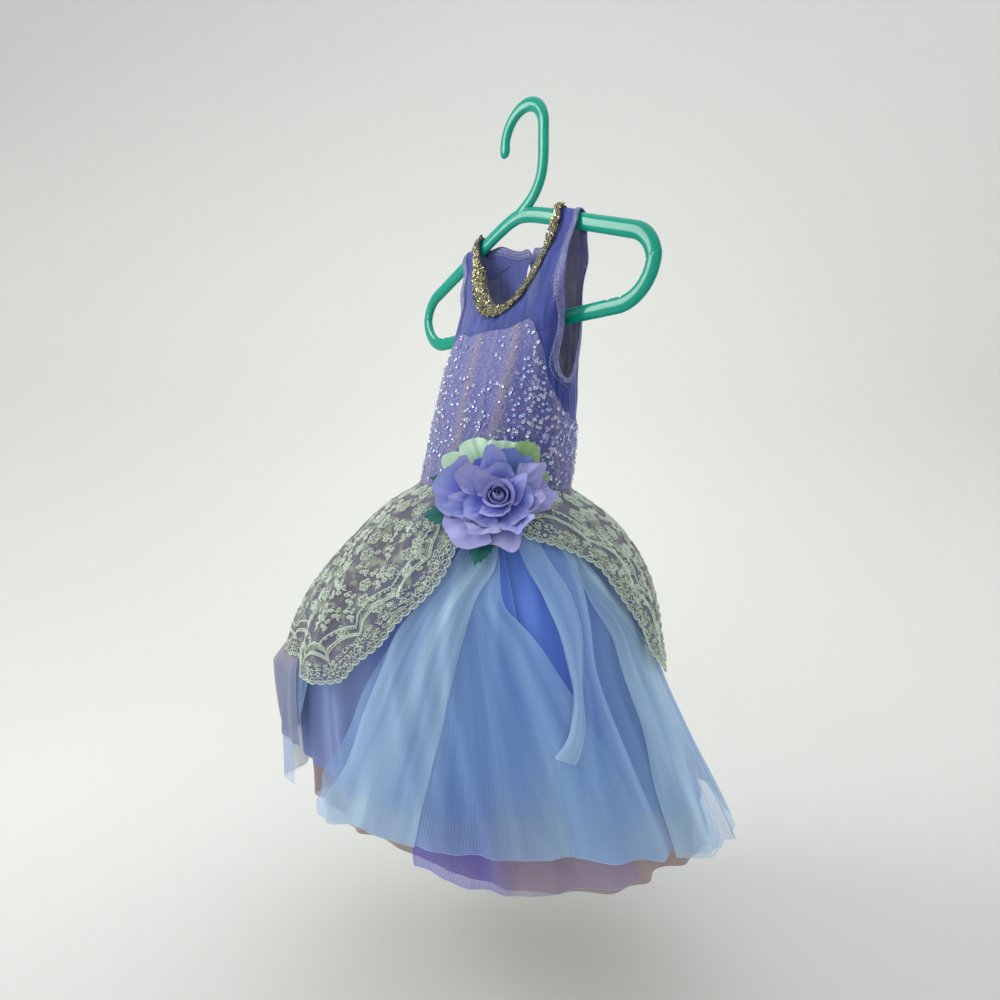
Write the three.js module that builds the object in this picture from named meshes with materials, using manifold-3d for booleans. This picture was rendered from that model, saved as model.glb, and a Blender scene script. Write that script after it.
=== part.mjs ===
// A child's dance costume hanging on its plastic hanger, in millimetres.
// +X runs along the hanger to the wearer's left, -Y is the front of the costume and +Z is up.
// The origin is the inner top of the hook, where a rail or a hand holds the hanger.
// Every piece of cloth is a thin closed wall laid on one shared surface, the "cloth" function below.
import * as THREE from "three";
import { mergeVertices } from "three/addons/utils/BufferGeometryUtils.js";
import Module from "manifold-3d";

const wasm = await Module();
wasm.setup();

// ---------- driving sizes ----------
const HANGER_WIDTH = 300;        // tip to tip, over the plastic
const TUBE_WIDE = 12.6;          // the flat-oval tube, in the plane of the hanger
const TUBE_DEEP = 6.4;           // the same tube, front to back
const ARM_SLOPE = 0.397;         // fall of the arms per millimetre of run
const PEAK_ROUND = 15;           // how softly the arms meet at the top
const BAR_DROP = 101;            // bottom bar below the arms' meeting point
const CORNER_UPPER = 28;         // radius of the shoulder corners
const CORNER_LOWER = 30;         // radius of the corners down to the bar
const HOOK_RADIUS = 24.3;        // to the middle of the hook's tube
const HOOK_RISE = 58;            // hook's centre above the arms' meeting point
const HOOK_SHIFT = 3.3;          // hook's centre beside the arms' meeting point
const HOOK_WIDE = 11;
const HOOK_DEEP = 6.2;
const HOOK_END = 188;            // where the hook's free end stops, counted from the stem
const NOTCH_RADIUS = 2.2;        // strap notches in the bottom bar
const NOTCHES = [104, 116];      // their distance from the middle

const GAP = 0.3;                 // between neighbouring pieces
const CLOTH = 1.0;               // wall of mesh, tulle and lace
const SEAM_RISE = 8.1;           // shoulder seam above the middle of the arm
const ARM_CLEAR = 4.2;           // cloth beside the middle of the arm
const NECK_DISH = 8;             // how far the neck edge falls back
const NECK_DISH_REACH = 22;      // over this width of cloth
const WAIST = -243;              // waist seam
const LONGEST = -588;            // lowest hem of the skirt
const TRIM_SHOULDER = 12;        // beaded neck band at the shoulder
const TRIM_SIDE = 17;            // half way down the neck
const TRIM_FRONT = 11;           // at its lowest point
const BINDING = 7;               // elastic round each armhole
const NECKBAND = 8;              // band round the back of the neck

const HELD_AT = [HOOK_SHIFT, 0, HOOK_RISE + HOOK_RADIUS - HOOK_WIDE / 2];

// The body of the costume, section by section down its middle. Levels are measured from the
// arms' meeting point. wide: half width. front, back: depth each side of the hanger's plane.
// square: 2 is an ellipse, more is boxier. across, along: the section's centre. turn: how far
// the hanging costume has swung round. follow: how much the level still slopes with the arms.
// tip: rise of the front over the back.
const SECTION_COLUMNS = [
  "level", "wide", "front", "back", "square", "across", "along", "turn", "follow", "tip",
];
const SECTIONS = [
  [0, 98, 5, 5, 6, 0, 0, 0, 1, 0],
  [-30, 86, 11, 9, 5, 0, 0, -3, 0.85, 0],
  [-60, 75, 16, 14, 4.5, 0, 0, -4, 0.55, 0],
  [-95, 70, 26, 19, 4, 0, 0, -1, 0.2, 0],
  [-150, 70, 34, 34, 3, -4, -8, 6, 0, 0],
  [-203, 72, 42, 42, 2.4, -7, -11, 17, 0, 0],
  [-237, 72.5, 47, 47, 2.2, -10, -13.5, 24, 0, 0],
  [-243, 73, 48, 48, 2.2, -11, -14, 25, 0, 0],
  [-275, 108, 73, 73, 2, -12, -14, 30, 0, 0.05],
  [-310, 135, 90, 90, 2, -14, -16, 33, 0, 0.09],
  [-350, 156, 104, 104, 2, -18, -22, 36, 0, 0.12],
  [-400, 171, 113, 113, 2, -21, -25, 38, 0, 0.15],
  [-470, 191, 124, 124, 2, -13, -16, 40, 0, 0.17],
  [-550, 211, 137, 137, 2, 1, 2, 40, 0, 0.17],
  [-610, 222, 144, 144, 2, 8, 10, 40, 0, 0.17],
].map((row) => Object.fromEntries(SECTION_COLUMNS.map((name, i) => [name, row[i]])));

// ---------- small helpers ----------
const radians = (degrees) => (degrees * Math.PI) / 180;
const mix = (a, b, t) => a + (b - a) * t;
const clamp01 = (t) => Math.min(1, Math.max(0, t));
const smooth = (t) => clamp01(t) ** 2 * (3 - 2 * clamp01(t));

function lookUp(rows, name, level) {
  // A smooth curve through one column of a table whose level falls from row to row.
  if (level >= rows[0].level) return rows[0][name];
  const last = rows.length - 1;
  if (level <= rows[last].level) return rows[last][name];
  let i = 0;
  while (level < rows[i + 1].level) i += 1;
  const slope = (j) => {
    const above = rows[Math.max(j - 1, 0)];
    const below = rows[Math.min(j + 1, last)];
    return (above[name] - below[name]) / (above.level - below.level);
  };
  const run = rows[i + 1].level - rows[i].level;
  const t = (level - rows[i].level) / run;
  const start = rows[i][name] * (1 - 3 * t * t + 2 * t ** 3) + slope(i) * run * (t - 2 * t * t + t ** 3);
  return start + rows[i + 1][name] * (3 * t * t - 2 * t ** 3) + slope(i + 1) * run * (t ** 3 - t * t);
}

function through(points, count) {
  // A smooth line through [x, z] points, as count + 1 points.
  const stops = points.map(([x, z]) => new THREE.Vector3(x, 0, z));
  const curve = new THREE.CatmullRomCurve3(stops, false, "centripetal");
  return curve.getSpacedPoints(count).map((p) => [p.x, p.z]);
}

const armHeight = (x) => -ARM_SLOPE * Math.hypot(x, PEAK_ROUND);

function section(level) {
  const row = {};
  for (const name of SECTION_COLUMNS.slice(1)) row[name] = lookUp(SECTIONS, name, level);
  return row;
}

// ---------- the shared surface of the cloth ----------
// Neck edge of the front, as [across, height] from the right shoulder to the middle.
const NECK_HALF = [
  [-48, -20.2], [-46, -30], [-41, -42], [-34.5, -55.5], [-23, -71.5], [-11, -81.5], [0, -84.5],
];
const NECK_STATIONS = 14;        // on each side of the middle
const NECK_LINE = through(
  [...NECK_HALF, ...NECK_HALF.slice(0, -1).reverse().map(([x, z]) => [-x, z])],
  2 * NECK_STATIONS,
);
const CHEST = -110;              // the neck's dish fades out above this height

function neckDistance(x, z) {
  return Math.min(...NECK_LINE.map(([nx, nz]) => Math.hypot(x - nx, z - nz)));
}

function neckDish(x, z) {
  const belowArm = smooth((armHeight(x) - 12 - z) / 16);
  const reach = clamp01(1 - neckDistance(x, z) / NECK_DISH_REACH);
  return z > CHEST ? NECK_DISH * belowArm * reach * reach : 0;
}

function cloth(angle, level, out = 0) {
  // angle runs round the body from the middle of the front (0) by the wearer's left (90) to the
  // middle of the back (180). out moves a layer away from the body. Above level 0 the cloth
  // bends over the hanger's arm, up to the shoulder seam.
  const s = section(level);
  const [sine, cosine] = [Math.sin(radians(angle)), Math.cos(radians(angle))];
  const reach = (Math.abs(sine) ** s.square + Math.abs(cosine) ** s.square) ** (-1 / s.square);
  const side = cosine >= 0 ? -1 : 1;
  const x = (s.wide + out) * reach * sine;
  if (level > 0) {
    const bend = (Math.PI / 2) * (level / SEAM_RISE);
    const y = side * (ARM_CLEAR + out) * Math.cos(bend);
    return new THREE.Vector3(x, y, armHeight(x) + (SEAM_RISE + out) * Math.sin(bend));
  }
  const body = ((s.front + s.back) / 2 + out) * reach * Math.abs(cosine);
  const y = side * mix(ARM_CLEAR + out, body, smooth(-level / 35));
  const z = level + s.follow * armHeight(x) - s.tip * y;
  const dished = side < 0 ? y + neckDish(x, z) : y;
  const turn = radians(s.turn);
  return new THREE.Vector3(
    s.across + x * Math.cos(turn) - dished * Math.sin(turn),
    s.along + (s.back - s.front) / 2 + x * Math.sin(turn) + dished * Math.cos(turn),
    z,
  );
}

function levelOf(x, z) {
  let level = z;
  for (let i = 0; i < 12; i += 1) level = z - section(level).follow * armHeight(x);
  return Math.min(level, 0);
}

function angleAt(x, level) {
  const s = section(level);
  const share = Math.abs(x) / s.wide;
  const angle = (Math.atan2(share, (1 - share ** s.square) ** (1 / s.square)) * 180) / Math.PI;
  return Math.sign(x) * angle;
}

function onPattern([x, z]) {
  // [across, height] on the front, as [angle, level] on the cloth.
  const level = levelOf(x, z);
  return [angleAt(x, level), level];
}

function seamAngle(level) {
  // Stops a piece just short of the side seam.
  const s = section(level);
  return 90 - (Math.atan(GAP / (s.front + s.back)) * 180) / Math.PI;
}

// ---------- solids ----------
function solid(positions, faces) {
  const geometry = new THREE.BufferGeometry();
  let volume = 0;
  const [a, b, c] = [new THREE.Vector3(), new THREE.Vector3(), new THREE.Vector3()];
  for (const [i, j, k] of faces) {
    a.fromArray(positions, 3 * i);
    b.fromArray(positions, 3 * j);
    c.fromArray(positions, 3 * k);
    volume += a.dot(b.cross(c));
  }
  const outward = volume > 0 ? faces : faces.map(([i, j, k]) => [i, k, j]);
  geometry.setAttribute("position", new THREE.Float32BufferAttribute(positions, 3));
  geometry.setIndex(outward.flat());
  geometry.computeVertexNormals();
  return geometry;
}

function wall(rows, columns, point, ring = false) {
  // A closed wall between two grids: point(i, j, 0) is its inside and point(i, j, 1) its outside.
  const wide = ring ? columns : columns + 1;
  const positions = [];
  for (const face of [0, 1]) {
    for (let i = 0; i <= rows; i += 1) {
      for (let j = 0; j < wide; j += 1) positions.push(...point(i, j, face).toArray());
    }
  }
  const at = (face, i, j) => (face * (rows + 1) + i) * wide + (j % wide);
  const faces = [];
  const quad = (p, q, r, s) => faces.push([p, q, r], [p, r, s]);
  for (let j = 0; j < columns; j += 1) {
    for (let i = 0; i < rows; i += 1) {
      quad(at(1, i, j), at(1, i + 1, j), at(1, i + 1, j + 1), at(1, i, j + 1));
      quad(at(0, i, j), at(0, i, j + 1), at(0, i + 1, j + 1), at(0, i + 1, j));
    }
    quad(at(0, 0, j), at(1, 0, j), at(1, 0, j + 1), at(0, 0, j + 1));
    quad(at(0, rows, j), at(0, rows, j + 1), at(1, rows, j + 1), at(1, rows, j));
  }
  for (let i = 0; i < rows && !ring; i += 1) {
    quad(at(0, i, 0), at(0, i + 1, 0), at(1, i + 1, 0), at(1, i, 0));
    quad(at(0, i, columns), at(1, i, columns), at(1, i + 1, columns), at(0, i + 1, columns));
  }
  return solid(positions, faces);
}

function laid(lines, inside, thick, ring = false) {
  // A wall of cloth through lines of [angle, level], all with as many points.
  return wall(lines.length - 1, lines[0].length - (ring ? 0 : 1), (i, j, face) => {
    const [angle, level] = lines[i][j];
    return cloth(angle, level, inside + face * thick);
  }, ring);
}

const between = (a, b, count) =>
  Array.from({ length: count + 1 }, (_, k) => [mix(a[0], b[0], k / count), mix(a[1], b[1], k / count)]);

const costume = new THREE.Group();
costume.position.set(-HELD_AT[0], -HELD_AT[1], -HELD_AT[2]);

function add(name, geometry, material) {
  const mesh = new THREE.Mesh(geometry, material);
  mesh.name = name;
  costume.add(mesh);
}

const finish = (color, roughness, metalness = 0) =>
  new THREE.MeshStandardMaterial({ color, roughness, metalness });
const PLASTIC = finish(0x2fa58e, 0.25);
const MESH = finish(0x5868b8, 0.7);
const SEQUIN = finish(0x8f8cc4, 0.35, 0.3);
const BEADS = finish(0x9a8f5c, 0.3, 0.6);
const ELASTIC = finish(0xa9aed6, 0.5);
const SKY = finish(0x8fb6dc, 0.6);
const ROYAL = finish(0x4a6fce, 0.6);
const VIOLET = finish(0x7f83cf, 0.6);
const NUDE = finish(0xb59c90, 0.6);
const LACE = finish(0xb4c8b0, 0.7);
const SILK = finish(0x8487d2, 0.6);
const MINT = finish(0xa9d8a4, 0.6);
const LEAF = finish(0x0f7a72, 0.6);

// ---------- hanger ----------
function tube(line, wide, deep, closed) {
  // A flat-oval tube along [x, z, scale] points in the hanger's plane.
  const sides = 12;
  const count = line.length;
  const positions = [];
  const faces = [];
  for (let i = 0; i < count; i += 1) {
    const before = line[closed ? (i + count - 1) % count : Math.max(i - 1, 0)];
    const after = line[closed ? (i + 1) % count : Math.min(i + 1, count - 1)];
    const along = new THREE.Vector2(after[0] - before[0], after[1] - before[1]).normalize();
    const [x, z, scale = 1] = line[i];
    for (let j = 0; j < sides; j += 1) {
      const turn = (2 * Math.PI * j) / sides;
      const reach = (scale * wide * Math.cos(turn)) / 2;
      positions.push(x + along.y * reach, (scale * deep * Math.sin(turn)) / 2, z - along.x * reach);
    }
  }
  for (let i = 0; i < (closed ? count : count - 1); i += 1) {
    for (let j = 0; j < sides; j += 1) {
      const [a, b] = [i * sides + j, i * sides + ((j + 1) % sides)];
      const [c, d] = [((i + 1) % count) * sides + j, ((i + 1) % count) * sides + ((j + 1) % sides)];
      faces.push([a, b, d], [a, d, c]);
    }
  }
  for (let j = 1; j < sides - 1 && !closed; j += 1) {
    const end = (count - 1) * sides;
    faces.push([0, j + 1, j], [end, end + j, end + j + 1]);
  }
  return solid(positions, faces);
}

function arc([x, z], radius, from, to, steps) {
  return Array.from({ length: steps + 1 }, (_, k) => {
    const turn = radians(mix(from, to, k / steps));
    return [x + radius * Math.cos(turn), z + radius * Math.sin(turn)];
  });
}

function hangerLoop() {
  const tip = (HANGER_WIDTH - TUBE_WIDE) / 2;
  const slope = (Math.atan(ARM_SLOPE) * 180) / Math.PI;
  const upper = [tip - CORNER_UPPER, 0];
  upper[1] = -ARM_SLOPE * upper[0] - CORNER_UPPER / Math.cos(radians(slope));
  const lower = [tip - CORNER_LOWER, CORNER_LOWER - BAR_DROP];
  const half = [
    ...[0, 8, 18, 35, 60, 90].map((x) => [x, armHeight(x)]),
    ...arc(upper, CORNER_UPPER, 90 - slope, 6, 5),
    ...arc(lower, CORNER_LOWER, 0, -90, 6),
    [60, -BAR_DROP],
    [0, -BAR_DROP],
  ];
  return [...half, ...half.slice(1, -1).reverse().map(([x, z]) => [-x, z])];
}

function hookLine() {
  const centre = [HOOK_SHIFT, HOOK_RISE];
  const side = HOOK_SHIFT + HOOK_RADIUS;
  const stem = through(
    [[-7, -8], [7, -1], [18, 6.5], [side - 2.2, 17], [side + 0.6, 30], [side, HOOK_RISE - 4]],
    9,
  );
  const bow = arc(centre, HOOK_RADIUS, 0, HOOK_END, 14);
  const [before, last] = bow.slice(-2);
  const away = new THREE.Vector2(last[0] - before[0], last[1] - before[1]).normalize();
  const cap = [[1.8, 0.93], [3.4, 0.76], [4.6, 0.5], [5.2, 0.25]];
  return [...stem, ...bow, ...cap.map(([d, scale]) => [last[0] + away.x * d, last[1] + away.y * d, scale])];
}

function asManifold(geometry) {
  const bare = new THREE.BufferGeometry();
  bare.setAttribute("position", geometry.getAttribute("position"));
  bare.setIndex(geometry.getIndex());
  const merged = mergeVertices(bare, 1e-4);
  return new wasm.Manifold(new wasm.Mesh({
    numProp: 3,
    vertProperties: new Float32Array(merged.getAttribute("position").array),
    triVerts: new Uint32Array(merged.getIndex().array),
  }));
}

function fromManifold(shape) {
  const mesh = shape.getMesh();
  const geometry = new THREE.BufferGeometry();
  geometry.setAttribute("position", new THREE.BufferAttribute(mesh.vertProperties, 3));
  geometry.setIndex(new THREE.BufferAttribute(mesh.triVerts, 1));
  return geometry;
}

function notch(x) {
  const peg = new THREE.CylinderGeometry(NOTCH_RADIUS, NOTCH_RADIUS, 2 * TUBE_DEEP, 12);
  peg.translate(x, 0, TUBE_WIDE / 2 - BAR_DROP);
  return peg;
}

let hanger = asManifold(tube(hangerLoop(), TUBE_WIDE, TUBE_DEEP, true));
hanger = hanger.add(asManifold(tube(hookLine(), HOOK_WIDE, HOOK_DEEP, false)));
for (const place of NOTCHES) {
  for (const side of [-1, 1]) hanger = hanger.subtract(asManifold(notch(side * place)));
}
add("hanger", fromManifold(hanger), PLASTIC);

// ---------- mesh yoke, sides and back ----------
const SHOULDER = SEAM_RISE * 0.975;          // stops just short of the shoulder seam
const ARCH = [SHOULDER, SEAM_RISE * 0.6, SEAM_RISE * 0.25];

// The armhole, as angles from the middle of the front and from the middle of the back.
const ARMHOLE = [
  { level: 0, front: 37.5, back: 37.5 },
  { level: -20, front: 40, back: 43 },
  { level: -45, front: 50, back: 53 },
  { level: -75, front: 64, back: 57 },
  { level: -105, front: 77, back: 61 },
  { level: -125, front: 71, back: 72 },
  { level: -140, front: 67.5, back: 79 },
  { level: -148, front: 73, back: 84 },
  { level: -153, front: 88, back: 88 },
];
const UNDERARM = -153.5;
const YOKE_LEVELS = [-3, -16, -30, -45, -60, -76, -92, -107];
const SIDE_LEVELS = [-107, -120, -132, -141, -147.5, -151.5];
const SEAM_LEVELS = [-166, -173, -178.5];

// Top edge of the sequin panel, from the middle of the front to the side seam.
const PANEL_TOP = [
  { angle: 0, level: -107 },
  { angle: 12, level: -107.5 },
  { angle: 22, level: -107 },
  { angle: 29, level: -103.5 },
  { angle: 34, level: -101 },
  { angle: 38, level: -104.5 },
  { angle: 42, level: -112 },
  { angle: 48, level: -123 },
  { angle: 53, level: -134 },
  { angle: 56, level: -145 },
  { angle: 58.5, level: -152.5 },
  { angle: 61, level: -158 },
  { angle: 64, level: -163 },
  { angle: 69, level: -168.5 },
  { angle: 74.5, level: -174 },
  { angle: 80, level: -178 },
];
const CHEST_CORNER = 42;         // where the yoke, the side mesh and the panel meet
const BACK_PANEL_TOP = -184;

// Back neck edge from the shoulder to the notch in its middle, as half widths.
const NAPE = [
  { level: 0, half: 48 },
  { level: -3, half: 45.5 },
  { level: -9, half: 38 },
  { level: -16, half: 29 },
  { level: -23, half: 20 },
  { level: -26.5, half: 11 },
  { level: -26, half: 5 },
];
const NOTCH_TOP = -33;
const NOTCH_FOOT = -37;
const SHOULDER_HALF = 40;        // the nape stays put outside this half width
const OPENING_SHIFT = 8;         // the back fastening hangs this far to the left of the middle
const SHIFT_END = -85;           // below this the back edges meet in the middle again

// Below the neckband: keyhole and centre seam, as half widths.
const BACK_EDGE = [
  { level: -41, half: 6 },
  { level: -46, half: 8.5 },
  { level: -56, half: 9 },
  { level: -66, half: 7 },
  { level: -74, half: 3.5 },
  { level: -80, half: GAP },
  { level: -100, half: GAP },
  { level: -120, half: GAP },
  { level: -135, half: GAP },
  { level: -147, half: GAP },
];

function inset(line, widths) {
  // Moves a line of [angle, level] sideways by widths measured on the cloth.
  return line.map(([angle, level], k) => {
    const [angleBefore, levelBefore] = line[Math.max(k - 1, 0)];
    const [angleAfter, levelAfter] = line[Math.min(k + 1, line.length - 1)];
    const perDegree = cloth(angle + 1, level).distanceTo(cloth(angle, level));
    const run = (angleAfter - angleBefore) * perDegree;
    const along = new THREE.Vector2(run, levelAfter - levelBefore).normalize();
    return [angle + (along.y * widths[k]) / perDegree, level - along.x * widths[k]];
  });
}

const evenly = (line, width) => inset(line, line.map(() => width));
const mirror = (line) => line.map(([angle, level]) => [-angle, level]);
const behind = (line) => line.map(([angle, level]) => [180 - angle, level]);
const overShoulder = ([angle]) => ARCH.map((level) => [angle, level]);

function wholeFront(half) {
  // half runs from the right shoulder to the middle, as [angle, level].
  const right = [...overShoulder(half[0]), ...half];
  return [...right, ...mirror(right.slice(0, -1).reverse())];
}

function armholeEdge(face, levels) {
  const edge = levels.map((level) => [lookUp(ARMHOLE, face, level), level]);
  return [...overShoulder(edge[0]), ...edge, [90, UNDERARM]];
}

// Each armhole is edged with elastic, and the mesh stops where the elastic begins.
const backLevels = [...NAPE.map((row) => row.level), NOTCH_FOOT, ...BACK_EDGE.map((row) => row.level)];
const frontHole = armholeEdge("front", [...YOKE_LEVELS, ...SIDE_LEVELS.slice(1)]);
const backHole = armholeEdge("back", backLevels);
const aroundHole = (hole, width) => [...evenly(hole, width).slice(0, -1), [90, UNDERARM - width]];
const frontMeshEdge = aroundHole(frontHole, BINDING + GAP);
const backMeshEdge = aroundHole(backHole, BINDING + GAP);

const neckHalf = NECK_LINE.slice(0, NECK_STATIONS + 1).map(onPattern);
const trimWidths = neckHalf.map((_, k) => {
  const way = (2 * k) / NECK_STATIONS;
  return way < 1 ? mix(TRIM_SHOULDER, TRIM_SIDE, smooth(way)) : mix(TRIM_SIDE, TRIM_FRONT, smooth(way - 1));
});
const trimHalf = inset(neckHalf, trimWidths);
const trimMiddle = inset(neckHalf, trimWidths.map((width) => width / 2));
const yokeHalf = [
  ...mirror(frontMeshEdge.slice(ARCH.length, ARCH.length + YOKE_LEVELS.length)),
  ...PANEL_TOP.filter((row) => row.angle <= CHEST_CORNER).reverse()
    .map((row) => [-row.angle, row.level + GAP]),
];
const halfway = (from, to) => from.map((point, k) => between(point, to[k], 2)[1]);
const seamLines = [neckHalf, trimMiddle, trimHalf].map(wholeFront);
const yokeLines = [...seamLines, wholeFront(halfway(trimHalf, yokeHalf)), wholeFront(yokeHalf)];
add("yoke_front", laid(yokeLines, 0, CLOTH), MESH);

const sideInner = PANEL_TOP.filter((row) => row.angle >= CHEST_CORNER)
  .map((row, k) => [row.angle + (k ? 0 : 3 * GAP), row.level + (k ? 2 : -2) * GAP]);
const sideOuter = [
  ...frontMeshEdge.slice(ARCH.length + YOKE_LEVELS.length - 1, -1)
    .map(([angle, level], k) => (k ? [angle, level] : [angle - 3 * GAP, level - 2 * GAP])),
  ...[UNDERARM - BINDING - GAP, ...SEAM_LEVELS].map((level) => [seamAngle(level), level]),
];
const sideLines = sideInner.map((inner, k) => between(inner, sideOuter[k], 3));
add("side_left", laid(sideLines, 0, CLOTH), MESH);
add("side_right", laid(sideLines.map(mirror), 0, CLOTH), MESH);

function fromOpening(side, { level, half }) {
  // A point beside the fastening, on the side of the back that side names: 1 left, -1 right.
  const shift = OPENING_SHIFT * smooth((level - SHIFT_END) / (NOTCH_FOOT - SHIFT_END));
  return [side * angleAt(half + side * shift, level), level];
}

function backHalf(side) {
  const nape = NAPE.map((row) => (row.half > SHOULDER_HALF
    ? [side * angleAt(row.half, row.level), row.level]
    : fromOpening(side, row)));
  const edge = [...overShoulder(nape[0]), ...nape];
  const notch = [NOTCH_TOP, NOTCH_FOOT].map((level) => fromOpening(side, { level, half: GAP }));
  const lower = evenly(edge, -side * NECKBAND);
  const band = [[...edge, notch[0]], [...lower, notch[1]]];
  const inner = [
    ...evenly(edge, -side * (NECKBAND + 2 * GAP)),
    ...[{ level: NOTCH_FOOT - GAP, half: GAP }, ...BACK_EDGE].map((row) => fromOpening(side, row)),
    ...[UNDERARM, -168, BACK_PANEL_TOP + GAP].map((level) => fromOpening(side, { level, half: GAP })),
  ];
  const outer = [
    ...backMeshEdge.slice(0, -1),
    ...[UNDERARM - BINDING - GAP, -172, BACK_PANEL_TOP + GAP].map((level) => [seamAngle(level), level]),
  ];
  const mesh = inner.map((start, k) => between(start, [side * outer[k][0], outer[k][1]], 3));
  return { band: band.map(behind), mesh: mesh.map(behind) };
}

const backSides = { left: backHalf(1), right: backHalf(-1) };
for (const [side, half] of Object.entries(backSides)) {
  add(`yoke_back_${side}`, laid(half.mesh, 0, CLOTH), MESH);
}

// ---------- edgings ----------
const ON_MESH = CLOTH + GAP;
add("neck_trim", laid(seamLines, ON_MESH, 2 * CLOTH), BEADS);

const bindingLines = [0, BINDING].map((width) =>
  [...aroundHole(frontHole, width), ...behind(aroundHole(backHole, width)).reverse().slice(1)]);
add("binding_left", laid(bindingLines, 0, 2 * CLOTH, true), ELASTIC);
add("binding_right", laid(bindingLines.map(mirror), 0, 2 * CLOTH, true), ELASTIC);

for (const [side, half] of Object.entries(backSides)) {
  add(`neckband_back_${side}`, laid(half.band, 0, 2 * CLOTH), ELASTIC);
}

// ---------- sequin bodice ----------
const PANEL_ROWS = 4;
const topHalf = [...PANEL_TOP.map((row) => [row.angle, row.level]), [90, -179]];
const topEdge = [...mirror(topHalf.slice(1)).reverse(), ...topHalf];
const toSeam = ([angle, level]) => [Math.sign(angle) * Math.min(Math.abs(angle), seamAngle(level)), level];
const steps = (count) => Array.from({ length: count + 1 }, (_, i) => i);
const toWaist = (edge) => steps(PANEL_ROWS).map((i) =>
  edge.map(([angle, level]) => toSeam([angle, mix(level, WAIST, i / PANEL_ROWS)])));
add("bodice_front", laid(toWaist(topEdge), 0, CLOTH), SEQUIN);

const backTop = steps(20).map((j) => [mix(-90, 90, j / 20), BACK_PANEL_TOP]);
add("bodice_back", laid(toWaist(backTop).map(behind), 0, CLOTH), SEQUIN);

// ---------- skirt ----------
// The soft pleats that all the layers share. width: reach each side, in degrees. rise: how far
// the pleat stands out at the hem.
const PLEATS = [
  { angle: -165, width: 13, rise: 9 },
  { angle: -132, width: 14, rise: 10 },
  { angle: -101, width: 11, rise: 9 },
  { angle: -72, width: 12, rise: 12 },
  { angle: -40, width: 10, rise: 8 },
  { angle: -14, width: 12, rise: 9 },
  { angle: 9, width: 9, rise: 6 },
  { angle: 31, width: 9, rise: 15 },
  { angle: 57, width: 11, rise: 12 },
  { angle: 80, width: 10, rise: 9 },
  { angle: 112, width: 14, rise: 12 },
  { angle: 146, width: 12, rise: 9 },
];
const TUCKED = 4;                // the skirt starts this far above the waist seam, inside it
const PLEATS_FULL = -540;        // level where the pleats have all their rise

function pleats(angle) {
  return PLEATS.reduce((sum, pleat) => {
    const away = ((((angle - pleat.angle) % 360) + 540) % 360) - 180;
    return sum + pleat.rise * Math.exp(-((away / pleat.width) ** 2));
  }, 0);
}

// waist and hem: how far the layer lies outside the shared surface. share: how much of the
// pleats it takes.
const LAYERS = {
  nude: { waist: -5.8, hem: -28, share: 0.7 },
  blue: { waist: -4.55, hem: -21, share: 0.8 },
  violet: { waist: -3.3, hem: -13, share: 0.9 },
  sky: { waist: -2.05, hem: -3, share: 1 },
};

function skirt(layer, angle, level, over = 0) {
  const fall = clamp01((WAIST + TUCKED - level) / (WAIST + TUCKED - PLEATS_FULL));
  const away = mix(layer.waist, layer.hem, fall) + layer.share * fall * pleats(angle);
  return cloth(angle, level, away + over);
}

const SKIRT_TOP = WAIST + TUCKED;
const SKIRT_LEVELS = [SKIRT_TOP, -244, -260, -288, -340, -430];
const SKIRT_COLUMNS = 28;

function fallLines(from, to, top, hem, columns) {
  // Lines round a layer, at the levels below top and at its hem. from and to give the free edges
  // by level, and hem gives its level by angle.
  const levels = SKIRT_LEVELS.filter((level) => level <= top);
  return [...levels, null].map((level) => steps(columns).map((j) => {
    const low = hem(mix(from(-540), to(-540), j / columns));
    const at = level ?? low;
    return [mix(from(at), to(at), j / columns), at];
  }));
}

function hang(layer, lines, ring = false) {
  return wall(lines.length - 1, lines[0].length - (ring ? 0 : 1), (i, j, face) =>
    skirt(layer, lines[i][j][0], lines[i][j][1], face * CLOTH), ring);
}

function fullLayer(layer, hem) {
  const angles = steps(SKIRT_COLUMNS - 1).map((j) => (360 * j) / SKIRT_COLUMNS);
  const lines = [...SKIRT_LEVELS, null].map((level) => angles.map((angle) => [angle, level ?? hem(angle)]));
  return hang(layer, lines, true);
}

const wrap = (angle) => ((((angle % 360) + 540) % 360) - 180);
const dip = (angle, middle, width) => Math.exp(-((wrap(angle - middle) / width) ** 2));

const hems = {
  nude: (angle) => -566 - 20 * dip(angle, 12, 28),
  blue: (angle) => -524 + 5 * Math.sin(radians(3 * angle)),
  violet: (angle) => LONGEST + 10 + 12 * (1 - dip(angle, 8, 30)),
  sky: (angle) => -545 + 6 * dip(angle, 30, 14) - 6 * dip(angle, -50, 16) - 7 * dip(angle, 75, 15),
};

add("skirt_nude", fullLayer(LAYERS.nude, hems.nude), NUDE);
add("skirt_blue", fullLayer(LAYERS.blue, hems.blue), ROYAL);

function panel(name, layer, [from, to], columns, material) {
  // A skirt panel with two free edges, each an angle at the waist and another at the hem.
  const edge = ([atWaist, atHem]) => (level) =>
    mix(atWaist, atHem, clamp01((SKIRT_TOP - level) / (SKIRT_TOP - PLEATS_FULL)));
  const lines = fallLines(edge(from), edge(to), SKIRT_TOP, hems[layer], columns);
  add(name, hang(LAYERS[layer], lines), material);
}

panel("skirt_violet", "violet", [[10, -17], [38, 39]], 8, VIOLET);
panel("skirt_sky_front", "sky", [[14, -45], [42, 42]], 11, SKY);
panel("skirt_sky_left", "sky", [[43.5, 43.5], [176, 176]], 16, SKY);
panel("skirt_sky_right", "sky", [[-177.5, -177.5], [-30, -66]], 15, SKY);

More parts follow.
